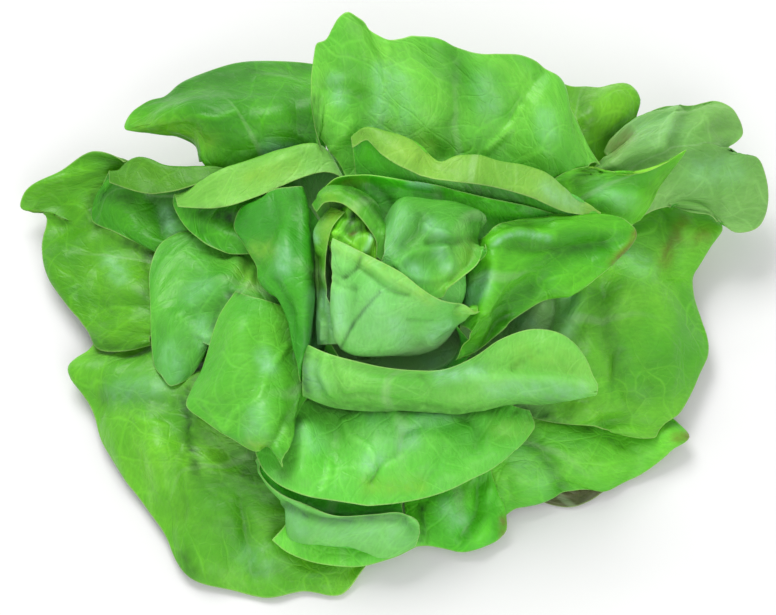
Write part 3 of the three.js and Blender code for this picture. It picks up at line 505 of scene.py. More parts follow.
# %% Looking towards the heart
HEART_AXIS = (-3.0, 5.0)
HEART_HEIGHT = 55.0
HEART_REACH = 40.0
NEST_RISE = 0.9
LOOK_BACK = 4.0
PAST_A_HIT = 0.05


def stacking(points):
    """The direction in which the next leaf lies, at each point: up, and in towards the heart."""
    distance = np.hypot(points[..., 0] - HEART_AXIS[0], points[..., 1] - HEART_AXIS[1])
    target_height = HEART_HEIGHT + NEST_RISE * np.maximum(0, distance - HEART_REACH)
    target = np.stack([np.full_like(distance, HEART_AXIS[0]), np.full_like(distance, HEART_AXIS[1]),
                       target_height], -1)
    way = target - points
    return way / np.linalg.norm(way, axis=-1, keepdims=True)


def quads_of(rows, columns):
    """The faces of a grid, wound so that along times across gives the upper side."""
    first = (np.arange(rows - 1)[:, None] * columns + np.arange(columns - 1)).ravel()
    return np.stack([first, first + columns, first + columns + 1, first + 1], 1)


def tree_of(sheet_list):
    """One search tree over several sheets."""
    points, faces = [], []
    for sheet in sheet_list:
        offset = sum(len(p) for p in points)
        points.append(sheet.reshape(-1, 3))
        faces.append(quads_of(*sheet.shape[:2]) + offset)
    return BVHTree.FromPolygons(np.concatenate(points).tolist(), np.concatenate(faces).tolist())


def furthest_hit(tree, start, way, reach):
    """How far beyond start, along way, the last sheet within reach lies, or None."""
    origin = start - way * LOOK_BACK
    left = reach + LOOK_BACK
    found = None
    while left > 0:
        hit = tree.ray_cast(Vector(origin), Vector(way), left)[0]
        if hit is None:
            break
        found = (np.array(hit) - start) @ way
        origin = np.array(hit) + way * PAST_A_HIT
        left = reach - found
    return found


print("from the cut face, the heart lies towards", stacking(np.zeros(3)).round(2))

# %% [markdown]
# ## Settling the leaves on one another
#
# Where an earlier leaf is still ahead, the point moves past it. The moves are then spread to their neighbours and
# smoothed, so the blade bends softly. Two rounds are enough. The foot of each leaf stays on the core.

# %% Pushing each leaf clear of the earlier ones
SETTLE_GAP = 2.0
SETTLE_ROUNDS = 2
SETTLE_BLUR = 2
ROWS_FROM_FOOT = 2.0
WRAPPING = ("back_wrap", "front_wrap", "back_inner", "inner_cup")
HEART_LOOK, WRAPPING_LOOK, LONG_LOOK = 4.0, 6.0, 12.0


def spread(field, rounds):
    """The same field, smoothed."""
    for _ in range(rounds):
        wide = np.pad(field, 1, mode="edge")
        sides = wide[:-2, 1:-1] + wide[2:, 1:-1] + wide[1:-1, :-2] + wide[1:-1, 2:]
        corners = wide[:-2, :-2] + wide[2:, 2:] + wide[:-2, 2:] + wide[2:, :-2]
        field = (wide[1:-1, 1:-1] * 4 + sides * 2 + corners) / 16
    return field


def widen(field):
    """Each point takes the largest value round it."""
    wide = np.pad(field, 1, mode="edge")
    rows, columns = field.shape
    return np.max([wide[a:a + rows, b:b + columns] for a in range(3) for b in range(3)], axis=0)


def soft_push(sheet, tree, reach, gap, blur):
    """How far each point has to move along its stacking direction, spread softly over its neighbours."""
    ways = stacking(sheet)
    push = np.zeros(sheet.shape[:2])
    for row in range(1, sheet.shape[0]):
        for column in range(sheet.shape[1]):
            ahead = furthest_hit(tree, sheet[row, column], ways[row, column], reach)
            if ahead is not None:
                push[row, column] = max(0.0, ahead + gap)
    return spread(np.maximum(spread(widen(push), blur), push), 1)


def look_of(name):
    """How far ahead a leaf looks for others, in millimetres."""
    if name.startswith("heart"):
        return HEART_LOOK
    return WRAPPING_LOOK if name in WRAPPING else LONG_LOOK


def settle(sheet, below, name):
    """The sheet moved clear of the sheets below it. Its foot stays on the core."""
    if not below:
        return sheet
    tree = tree_of(below)
    for _ in range(SETTLE_ROUNDS):
        soft = soft_push(sheet, tree, look_of(name), SETTLE_GAP, SETTLE_BLUR)
        from_foot = np.minimum(1, np.arange(sheet.shape[0]) / ROWS_FROM_FOOT)[:, None]
        sheet = sheet + stacking(sheet) * (soft * from_foot)[..., None]
    return sheet


settled = {}
for name, sheet in sheets.items():
    settled[name] = settle(sheet, list(settled.values()), name)
moved = [np.linalg.norm(settled[name] - sheets[name], axis=2).max() for name in settled]
print("settled; the largest move of a leaf is", round(max(moved), 1), "mm")

# %% [markdown]
# ## A finer sheet
#
# The rough sheets carry the big shapes. Veins, blisters and creases need points little more than a millimetre
# apart, so each sheet is redrawn finer, and the small leaves of the heart finer still. One extra row close to the
# rim lets the edge look thin. A subdivision modifier would do it too, but it would smooth the lines away.

# %% Fine sheets
CELL = {"outer": 1.5, "low": 4.0, "heart": 0.75, "other": 1.3}
RIM_CELL = 0.45
FEWEST_CELLS, MOST_CELLS = 8, 150


def kind_of(name, values):
    """The value for a leaf's kind, which is the first word of its name."""
    return values.get(name.split("_")[0], values["other"])


def lengths(sheet, axis):
    """The distance walked from the first point, along each line of a grid in that direction."""
    steps = np.linalg.norm(np.diff(sheet, axis=axis), axis=2)
    start = np.zeros_like(np.take(steps, [0], axis=axis))
    return np.concatenate([start, np.cumsum(steps, axis=axis)], axis=axis)


def fine_steps(length, cell, both_ends):
    """Shares from 0 to 1 in equal cells, with a thin cell at the end, or at both ends."""
    cells = int(min(MOST_CELLS, max(FEWEST_CELLS, round(length / cell))))
    thin = RIM_CELL / length
    steps = np.append(np.linspace(0, 1, cells + 1), 1 - thin)
    return np.sort(np.append(steps, thin) if both_ends else steps)


def redraw(sheet, up, across):
    """A grid of values read off at finer shares."""
    rows = smooth_through(sheet, np.linspace(0, 1, sheet.shape[0]), up)
    columns = smooth_through(np.swapaxes(rows, 0, 1), np.linspace(0, 1, sheet.shape[1]), across)
    return np.swapaxes(columns, 0, 1)


fine = {}
for name, sheet in settled.items():
    widest = lengths(sheet, 1)[:, -1].max()
    longest = lengths(sheet, 0)[-1].max()
    cell = kind_of(name, CELL)
    fine[name] = redraw(sheet, fine_steps(longest, cell, False), fine_steps(widest, cell, True))
print("fine sheets hold", sum(sheet.shape[0] * sheet.shape[1] for sheet in fine.values()), "points")

# %% [markdown]
# ## Where each point is on its leaf
#
# Every point gets its place on the leaf in millimetres: how far it is to the side of the midrib, how far up from
# the foot, and how far from the rim. The relief and the colours both follow those places, so a vein that is
# raised on the blade is also the pale line that the material paints. Texture coordinates of an unwrapped mesh
# could do it, but these places are true lengths, so a vein is as wide on a small leaf as on a large one.

# %% Places on the leaf and the way its upper side faces
MIDRIB_SHARE = {"heart_front": 0.12, "left_front_flap": 0.62, "front_wrap": 0.3, "heart_right": 0.35}
MIDDLE = 0.5


def places_of(sheet, name):
    """Beside the midrib, up from the foot and in from the rim, all in millimetres, at each point."""
    around = lengths(sheet, 1)
    up = lengths(sheet, 0)
    beside = around - around[:, -1:] * MIDRIB_SHARE.get(name, MIDDLE)
    to_end = up[-1:] - up
    to_side = np.minimum(around, around[:, -1:] - around)
    mean_up = spread(np.broadcast_to(up.mean(axis=1, keepdims=True), up.shape), 1)
    return beside, 0.5 * (up + mean_up), np.minimum(to_end, to_side)


def upper_side(sheet):
    """The direction that the upper side faces, at each point."""
    normal = np.cross(np.gradient(sheet, axis=0), np.gradient(sheet, axis=1))
    length = np.linalg.norm(normal, axis=2, keepdims=True)
    return normal / np.maximum(length, 1e-9)


longest_leaf = max(fine, key=lambda name: places_of(fine[name], name)[1].max())
print("the longest leaf is", longest_leaf)

# %% [markdown]
# ## Waves towards the rim
#
# A butterhead leaf is never flat. It waves towards its rim, most on the big outer leaves and hardly at all in the
# heart. The waves come from a handful of sine waves with seeded directions, so each leaf waves in its own way and
# yet comes out the same on every run. A noise texture would do too, but sines stay soft at every size.

# %% A soft wave
WAVE_FROM, WAVE_TO = 20.0, 46.0
WAVE_COUNT = 7
WAVE_HEIGHT = {"outer": 1.5, "low": 3.0, "heart": 0.35, "other": 0.8}
STIFF_LENGTH, LIMP_LENGTH, LIMP_POWER = 25, 50, 1.5
RIM_WIDTH, RIM_CALM, RIM_FREE = 2, 0.6, 0.4


def wave(beside, up, seed):
    """A soft uneven wave over the blade, about one high."""
    rng = np.random.default_rng(seed)
    total = np.zeros_like(beside)
    for _ in range(WAVE_COUNT):
        heading, phase = rng.uniform(0, 2 * math.pi, 2)
        pitch = rng.uniform(WAVE_FROM, WAVE_TO)
        total += np.sin((beside * math.cos(heading) + up * math.sin(heading)) * 2 * math.pi / pitch + phase)
    return total / math.sqrt(WAVE_COUNT)


def waved(sheet, name, seed):
    """The sheet with its waves, which start beyond the stiff stalk and are calmer at the very rim."""
    beside, up, inward = places_of(sheet, name)
    limp = np.clip((up - STIFF_LENGTH) / LIMP_LENGTH, 0, 1) ** LIMP_POWER
    calm = np.where(inward < RIM_WIDTH, inward / RIM_WIDTH * RIM_FREE + RIM_CALM, 1.0)
    height = wave(beside, up, seed) * limp * calm * kind_of(name, WAVE_HEIGHT)
    return sheet + upper_side(sheet) * height[..., None]


wavy = {name: waved(sheet, name, number) for number, (name, sheet) in enumerate(fine.items())}
print("waves move a leaf by up to", round(max(np.abs(wavy[name] - fine[name]).max() for name in fine), 1), "mm")

# %% [markdown]
# ## Creases
#
# A leaf carries the long soft creases of having been packed in a head, and each one catches the light. They could
# be sculpted with a brush. Here they are given in a list, so that each one can be found and changed: its
# width and height in millimetres, above zero for a ridge and below it for a valley, and then the points that it
# runs through, each as across and down the picture. Broad ones swell the blade, and narrow ones lie along its
# veins or along a folded rim. In the heart they are short and sharp.

# %% Creases of the outermost leaves
CREASES = {
    "outer_back_left": [
        (6, 2, 150, 116, 200, 106, 250, 103, 300, 101), (4, -1.6, 165, 100, 205, 93, 255, 91, 305, 88),
        (1, 0.8, 200, 118, 216, 119, 236, 114), (3, -1.2, 150, 124, 190, 126, 205, 142),
        (7, -2.4, 300, 106, 304, 125, 300, 140)],
    "outer_back_right": [
        (5, -2.2, 572, 90, 570, 112, 580, 130, 600, 134), (8, 2.2, 600, 108, 618, 104),
        (4, -1.6, 636, 116, 620, 134, 602, 152)],
    "outer_right_pale": [
        (2.6, 2.2, 680, 106, 668, 128, 662, 146), (5, -2.4, 690, 120, 682, 142, 686, 158),
        (5, 2.2, 728, 108, 702, 128, 692, 150), (3, -1.8, 742, 128, 718, 126, 700, 136),
        (4, -1.4, 729, 152, 724, 160, 700, 162), (6, 1.6, 690, 186, 720, 184, 748, 180),
        (2.2, -1, 720, 190, 722, 210, 718, 226), (2.2, 1.2, 612, 164, 636, 174, 660, 166)],
    "outer_right": [
        (4.4, -2.6, 600, 296, 606, 330, 618, 366, 628, 396), (9, 2.4, 652, 300, 660, 340, 652, 380),
        (3, 2.4, 586, 286, 576, 310, 562, 336), (2.2, -2.2, 552, 298, 551, 312, 546, 328),
        (6, 2, 592, 300, 590, 330, 600, 366), (2.2, 1.1, 626, 262, 640, 274, 656, 268, 660, 250),
        (4, -1.8, 668, 214, 676, 240, 674, 270), (5, 1.8, 684, 232, 680, 250),
        (2, -1.2, 612, 402, 612, 378, 622, 350), (6, -1.6, 640, 400, 650, 372, 640, 340),
        (3, -1.4, 590, 424, 630, 420, 658, 430), (5, 1.8, 585, 405, 600, 392, 614, 400),
        (3, 1.4, 570, 400, 590, 412, 592, 424)],
    "outer_front_right": [
        (3.4, -2.6, 526, 434, 546, 456, 562, 486), (7, 2, 590, 436, 604, 452, 596, 476),
        (4, -1.4, 622, 446, 636, 458, 628, 476), (2, 1, 624, 450, 634, 460),
        (6, 1.6, 512, 470, 530, 484, 548, 480), (2, -1, 508, 480, 514, 504)],
    "outer_front_left": [
        (3.2, -2.2, 188, 410, 182, 440, 176, 480, 180, 520), (6, 2.2, 150, 420, 158, 458, 164, 490),
        (3, -1.2, 104, 402, 136, 398, 170, 404), (7, 1.8, 96, 372, 130, 374, 158, 368),
        (8, 2.4, 212, 520, 206, 545, 204, 570), (2.6, -2, 240, 500, 246, 530, 252, 575),
        (7, 2, 264, 520, 268, 548, 262, 566), (3, -1.6, 290, 580, 276, 570, 262, 574),
        (7, -2.2, 226, 470, 214, 488, 190, 504), (1.6, 1, 205, 488, 222, 494, 238, 500),
        (1.2, 0.7, 128, 410, 142, 422, 168, 428)],
    "outer_left": [
        (6, -2, 66, 222, 84, 222, 96, 208), (5, 1.6, 104, 176, 92, 190, 84, 206),
        (2, -0.8, 76, 262, 78, 290, 84, 316), (8, 1.8, 60, 260, 64, 290, 80, 320),
        (2, 1, 100, 224, 122, 236, 150, 245), (1, 0.7, 108, 312, 122, 310, 134, 312),
        (7, 1.6, 118, 280, 122, 310, 116, 334), (3, -1.2, 36, 208, 50, 204, 66, 206)],
}
print(sum(map(len, CREASES.values())), "creases in", len(CREASES), "leaves so far")

# %% Creases of the open leaves
CREASES |= {
    "back_tall": [
        (5, -2.2, 361, 28, 366, 60, 364, 95, 367, 122), (1.1, 1.1, 386, 42, 386, 85, 379, 126),
        (12, 3, 415, 48, 418, 80, 420, 112), (6, -2.8, 458, 52, 458, 95, 450, 150),
        (9, 2.4, 490, 66, 484, 100, 480, 130), (3.5, -2.4, 542, 72, 528, 92, 512, 118),
        (9, 3.6, 546, 98, 549, 125, 546, 150), (1.2, 1.3, 521, 108, 510, 128, 486, 150),
        (3.4, -1.4, 322, 88, 338, 89, 356, 96), (7, 2.2, 335, 55, 338, 76), (5, 1.8, 328, 112, 340, 130),
        (2.4, 1.2, 330, 150, 346, 136, 352, 124), (3, -1.6, 430, 140, 440, 158)],
    "left_tongue": [
        (5, -2.6, 226, 262, 194, 286, 178, 304), (5, 2.6, 236, 262, 212, 286, 190, 306, 174, 320),
        (4, -1.8, 214, 306, 196, 322, 188, 346), (5, 2.2, 176, 336, 168, 360, 168, 382),
        (1.1, 1, 180, 316, 194, 330, 207, 338), (6, 1.8, 178, 254, 164, 274, 160, 300),
        (2.4, -1.6, 250, 264, 240, 284, 232, 294), (1.6, 1.4, 254, 268, 247, 284, 236, 290)],
    "left_front_flap": [
        (1.3, 1.2, 288, 346, 268, 372, 258, 398, 236, 412, 228, 428),
        (7, 2.2, 238, 326, 234, 360, 222, 392), (5, -2, 256, 340, 254, 380, 246, 402),
        (6, 2, 262, 410, 262, 436), (1, 0.9, 206, 404, 214, 414, 224, 430),
        (2.2, -2, 266, 448, 276, 436, 286, 416), (3, -1.4, 284, 330, 292, 370, 292, 420),
        (1.2, -0.9, 262, 448, 272, 458, 280, 468)],
    "left_inner": [
        (4, 2.6, 286, 236, 288, 262, 290, 290), (4, -1.2, 256, 200, 262, 222, 256, 240),
        (3.4, -1.6, 272, 198, 276, 222, 266, 246, 262, 266), (3, -1.2, 290, 198, 297, 222, 300, 256),
        (3, 1.6, 302, 240, 304, 290, 300, 340), (2, -1.6, 278, 282, 290, 304, 298, 340)],
    "front_open": [
        (8, -3.2, 322, 408, 332, 428, 330, 450), (5, 2.6, 306, 430, 306, 452, 302, 474),
        (1.2, 1.2, 344, 420, 350, 436, 364, 446, 374, 462, 364, 478), (9, 3, 374, 424, 386, 436, 378, 452),
        (2, -1.8, 422, 426, 402, 438, 396, 454, 380, 464, 370, 480), (1.6, 1, 392, 416, 404, 427, 422, 423),
        (1.2, 1, 329, 458, 328, 478, 320, 494), (1, 0.7, 329, 468, 350, 469, 372, 471),
        (7, 2.4, 424, 434, 440, 446, 436, 464), (2.4, -1.8, 464, 414, 478, 432, 476, 448),
        (5, 2, 486, 450, 472, 462, 456, 472), (2, -1.2, 442, 448, 436, 466, 424, 482),
        (5, 1.8, 506, 424, 514, 434, 500, 452), (3.4, -1.6, 376, 470, 372, 486, 368, 498),
        (3, 1.8, 400, 418, 424, 420, 446, 416), (6, -1.8, 452, 424, 462, 440, 452, 458)],
    "front_cupped": [
        (1.6, 1.4, 262, 470, 276, 488, 300, 505, 326, 514, 375, 512, 404, 512, 417, 523),
        (1.4, -1.8, 284, 503, 306, 513, 326, 519, 376, 517, 402, 517, 412, 528),
        (5, 1.2, 300, 526, 340, 534, 390, 534), (3, -1, 330, 524, 350, 540), (3, 1, 398, 524, 404, 540)],
    "front_low": [
        (2.2, -2.2, 478, 488, 478, 508, 462, 536), (3, 1.8, 488, 492, 490, 516, 478, 540),
        (6, 1.6, 444, 506, 450, 526), (3, -1.4, 492, 506, 496, 524), (4, 1.4, 486, 530, 470, 540)],
    "right_back_fold": [
        (2.4, 1.2, 594, 200, 616, 194, 640, 196), (3, -1.4, 578, 188, 592, 172, 600, 164),
        (4, 1.6, 612, 204, 640, 206, 650, 200)],
    "left_outer_rolled": [
        (5, -1.4, 140, 166, 150, 176), (2.4, -1.6, 152, 200, 160, 216, 162, 232),
        (3, -1.4, 104, 196, 98, 212, 100, 226), (4, 1.4, 128, 206, 136, 226)],
    "left_inner_rolled": [
        (3, 1.4, 200, 222, 226, 236), (2.4, -1.6, 236, 222, 250, 236, 262, 240),
        (3, 1.2, 284, 158, 272, 164, 262, 170), (2, -1, 300, 150, 306, 158)],
}
print(sum(map(len, CREASES.values())), "creases in", len(CREASES), "leaves so far")

# %% Creases of the wrappers and the heart
CREASES |= {
    "front_wrap": [
        (2.4, 1.8, 474, 378, 510, 379, 550, 379, 592, 388), (7, 1.6, 380, 392, 430, 397, 480, 396),
        (1.2, -1, 344, 396, 372, 393, 410, 401, 440, 405), (3, -1.6, 480, 366, 530, 366, 578, 372),
        (1, -0.8, 513, 370, 520, 362, 534, 354, 556, 346), (3, 1.4, 548, 344, 572, 350, 586, 366),
        (1.6, -1.4, 316, 360, 314, 376, 320, 392), (1.6, 1.2, 326, 358, 324, 376, 330, 392),
        (1.2, -0.8, 334, 362, 336, 378, 340, 392), (1, -0.6, 420, 376, 430, 388, 424, 402),
        (2, -1, 346, 366, 380, 372, 430, 376, 466, 368)],
    "right_wrap": [
        (2, 2.6, 492, 245, 500, 238, 512, 234, 532, 234, 552, 238),
        (4, -2.6, 512, 246, 545, 249, 580, 248, 605, 243), (5, 1.8, 598, 262, 575, 274, 552, 286),
        (2.6, 2, 494, 258, 492, 284, 484, 312), (4, -2.2, 540, 284, 516, 296, 500, 312),
        (1.8, -2.2, 508, 317, 496, 325, 488, 338, 480, 350), (2, 1.6, 504, 328, 494, 342, 482, 354),
        (3, 1.6, 556, 226, 590, 229, 616, 230), (1.4, 1.2, 634, 238, 622, 250, 606, 266, 588, 282, 566, 294)],
    "heart_right": [
        (1.4, 1.6, 424, 224, 430, 231, 442, 233, 454, 238), (2.6, -2, 422, 218, 415, 232, 404, 242),
        (5, 2, 402, 212, 394, 228, 388, 246), (1.6, 1.5, 398, 265, 410, 255, 430, 250, 446, 249),
        (1.6, 1.2, 446, 249, 451, 262, 446, 276, 424, 279, 406, 275, 398, 265),
        (4, -1.4, 416, 264, 436, 264), (2, -1.6, 430, 243, 452, 242, 476, 238),
        (1.6, 1.8, 482, 250, 479, 262, 462, 277, 446, 290), (2, -1.4, 474, 246, 470, 262, 452, 280),
        (3, -1.3, 480, 222, 460, 214, 436, 212)],
    "heart_front": [
        (2.2, 1.5, 336, 246, 352, 256, 370, 266, 388, 276, 404, 284, 422, 294),
        (1.3, -1.3, 360, 268, 370, 275, 380, 284, 390, 290, 408, 294),
        (1.2, -0.8, 362, 256, 357, 266, 350, 274, 343, 278), (1.2, -0.6, 331, 273, 338, 275, 346, 277),
        (1.2, -0.7, 333, 281, 342, 287, 355, 290), (2.6, 1.4, 341, 262, 346, 268),
        (2, -1.3, 354, 288, 352, 306, 350, 328), (2.4, 1.4, 339, 292, 338, 315, 342, 335),
        (0.9, -0.5, 380, 292, 370, 303, 360, 315, 350, 330, 342, 346),
        (6, 1.6, 374, 296, 382, 315, 380, 334), (4, -1.3, 400, 300, 406, 318, 408, 340),
        (0.9, -0.6, 408, 322, 432, 321), (0.9, -0.4, 447, 320, 430, 333, 418, 348),
        (3, 1.6, 456, 318, 440, 328, 430, 340), (0.8, -0.4, 378, 352, 384, 338, 394, 328),
        (1.6, -1.6, 453, 316, 459, 307, 470, 303), (2, 1.4, 462, 314, 474, 309)],
    "heart_bud": [
        (1.6, 1.5, 352, 208, 340, 220, 332, 232, 326, 244), (2.2, -2, 352, 234, 362, 228, 372, 225),
        (1.6, 1.2, 374, 236, 368, 250), (2, -1.2, 362, 212, 350, 222, 342, 236),
        (1.4, 1.3, 333, 232, 345, 238, 360, 252)],
    "heart_left": [
        (1.2, -1, 318, 258, 320, 290, 324, 320), (0.9, 0.8, 330, 290, 324, 312, 322, 340),
        (0.8, -0.7, 334, 300, 328, 322, 327, 344)],
    "heart_curl": [(2, -1.4, 348, 193, 364, 204, 378, 226), (1.6, 1, 322, 196, 346, 195, 362, 206, 374, 226)],
    "back_inner": [
        (1.6, 1.4, 322, 188, 338, 177, 362, 173, 388, 177, 412, 182),
        (3, -1.8, 340, 184, 368, 182, 400, 190, 440, 196),
        (2.4, 1.4, 400, 196, 440, 204, 490, 210, 530, 216), (2, -1.2, 370, 186, 384, 196, 394, 208)],
    "back_wrap": [
        (6, 1.4, 376, 146, 410, 160), (2, -1, 376, 150, 396, 160, 420, 172),
        (3, -1.2, 424, 160, 440, 168, 452, 170), (5, 1.2, 480, 172, 520, 184, 560, 202)],
}
print(sum(map(len, CREASES.values())), "creases in", len(CREASES), "leaves so far")

# %% [markdown]
# ## Strokes of paint
#
# Some of what the eye sees is painted on as colour and not shaped: a bluish-white painted sheen where the crests
# catch the light, painted shade in the folds, under overhanging rims, in the gaps between leaves and where a blade
# turns away from the light, brown where a rim has dried, and yellow where a leaf grew in the shade of another. A
# few thin strokes of the shade also draw dark veins on the heart. A texture could be painted by hand, but strokes
# in a list are easier to move. Each stroke is a width in millimetres and then the points that it runs through, each
# as across and down the picture. Its edge is soft.

# %% Paint strokes of the outermost leaves
# The bluish-white paint is a painted sheen, a highlight on wet crests, and the dark green paint is painted shade.
# Brown and yellow are the leaf's own colours.
PAINTS = ("painted_sheen", "shade", "brown", "yellow")
PAINTED = {
    "outer_back_left": {
        "painted_sheen": [(3, 268, 148, 298, 152)],
        "shade": [(4, 150, 104, 200, 84, 250, 72, 300, 70), (5, 210, 172, 250, 156, 304, 138),
                  (4, 296, 100, 302, 124)],
        "yellow": [(5, 140, 128, 182, 130, 208, 142)]},
    "outer_back_right": {"shade": [(4, 584, 92, 590, 120), (4, 604, 140, 620, 122)]},
    "outer_right_pale": {
        "painted_sheen": [(7, 640, 130, 668, 124), (6, 700, 170, 730, 170)],
        "brown": [(3, 612, 148, 628, 134)]},
    "outer_right": {
        "painted_sheen": [(3, 512, 318, 530, 324), (5, 618, 250, 644, 268), (4, 572, 300, 566, 330)],
        "shade": [(5, 602, 300, 608, 334, 620, 370), (4, 660, 216, 672, 246), (6, 640, 400, 654, 366),
                  (3, 514, 410, 540, 416, 566, 423), (4.4, 526, 406, 556, 410, 590, 400)],
        "brown": [(3, 676, 236, 684, 222), (3.5, 696, 240, 706, 234), (3, 668, 250, 664, 262)]},
    "outer_front_right": {
        "painted_sheen": [(6, 520, 462, 540, 478)],
        "shade": [(2.2, 508, 404, 530, 414, 560, 421, 590, 428), (2, 516, 400, 550, 412),
                  (4, 530, 440, 548, 462, 560, 484), (2.6, 484, 474, 494, 500)],
        "brown": [(2, 676, 438, 690, 436)]},
    "outer_front_left": {
        "painted_sheen": [(5, 118, 392, 160, 386), (6, 250, 556, 262, 566)],
        "shade": [(3, 190, 412, 190, 440, 196, 470), (8, 196, 424, 226, 448, 262, 472),
                  (9, 206, 450, 210, 490, 200, 520), (8, 232, 460, 240, 500, 236, 540),
                  (5, 104, 400, 150, 400, 184, 404), (4, 250, 474, 270, 500, 276, 530),
                  (3, 186, 556, 192, 572), (4, 100, 352, 150, 352), (3, 186, 398, 200, 372, 210, 350)]},
    "outer_left": {
        "painted_sheen": [(4, 112, 262, 120, 276)],
        "shade": [(3, 92, 342, 120, 350, 152, 346), (3, 96, 196, 92, 224),
                  (2.6, 104, 230, 130, 244, 156, 256), (3, 148, 262, 146, 300)]},
}
print("paint strokes for", len(PAINTED), "leaves so far")

# %% Paint strokes of the open leaves
PAINTED |= {
    "back_tall": {
        "painted_sheen": [(3.4, 381, 70, 381, 100, 378, 128), (5, 398, 78, 404, 110, 402, 140),
                  (5, 484, 84, 490, 104), (3, 336, 80, 340, 100), (4, 545, 116, 548, 134)],
        "shade": [(3, 316, 100, 318, 136, 328, 152), (6, 458, 56, 458, 96, 450, 132)],
        "yellow": [(4, 380, 124, 430, 146)]},
    "left_outer_rolled": {
        "painted_sheen": [(3, 166, 214, 172, 230)],
        "shade": [(3.6, 150, 196, 160, 200, 172, 206), (3, 110, 196, 130, 200)]},
    "left_inner_rolled": {
        "shade": [(2.6, 200, 212, 226, 216, 250, 210), (2.6, 222, 212, 234, 222)],
        "yellow": [(4, 250, 178, 290, 168)]},
    "left_tongue": {
        "painted_sheen": [(4, 192, 296, 206, 286), (5, 172, 352, 174, 372), (4, 200, 326, 204, 340)],
        "shade": [(3, 190, 232, 214, 250, 240, 258), (2.4, 232, 296, 222, 308, 214, 326)],
        "yellow": [(4, 244, 272, 250, 282)]},
    "left_front_flap": {
        "painted_sheen": [(4, 258, 412, 256, 430), (3, 262, 356, 268, 368)],
        "shade": [(2.4, 240, 292, 252, 290), (3, 292, 330, 297, 380, 292, 430)],
        "yellow": [(3, 252, 444, 262, 446)]},
    "left_inner": {
        "painted_sheen": [(3.4, 317, 296, 318, 320, 316, 344), (3, 284, 250, 284, 270)],
        "shade": [(4, 238, 206, 240, 220), (4, 296, 196, 304, 210), (1.6, 310, 262, 311, 300, 309, 344),
                  (2.4, 318, 256, 318, 284), (0.9, 322, 262, 321, 300, 319, 330)],
        "yellow": [(4, 254, 252, 270, 250)]},
    "front_open": {
        "painted_sheen": [(6.5, 374, 424, 384, 434, 376, 450), (4, 406, 428, 424, 420, 440, 418),
                  (4, 404, 446, 412, 440), (4, 306, 434, 314, 444), (3, 366, 466, 374, 458)],
        "shade": [(7, 308, 404, 328, 414, 336, 434), (3, 296, 420, 288, 450, 284, 474),
                  (3, 350, 410, 420, 414, 500, 412, 530, 414)],
        "yellow": [(5, 500, 430, 524, 428), (4, 370, 486, 420, 486)]},
    "front_cupped": {
        "painted_sheen": [(4, 292, 514, 300, 530), (6, 330, 530, 400, 532)],
        "shade": [(1.6, 284, 506, 306, 515, 326, 520, 376, 518, 404, 518)]},
    "front_low": {
        "painted_sheen": [(4, 448, 508, 458, 520)],
        "shade": [(4, 426, 500, 456, 492, 482, 482), (2.4, 422, 510, 422, 540)],
        "brown": [(2, 503, 522, 504, 536)]},
    "right_back_fold": {
        "painted_sheen": [(4, 600, 192, 626, 200)],
        "shade": [(4, 652, 196, 672, 168), (3, 578, 178, 592, 166)]},
}
print("paint strokes for", len(PAINTED), "leaves so far")

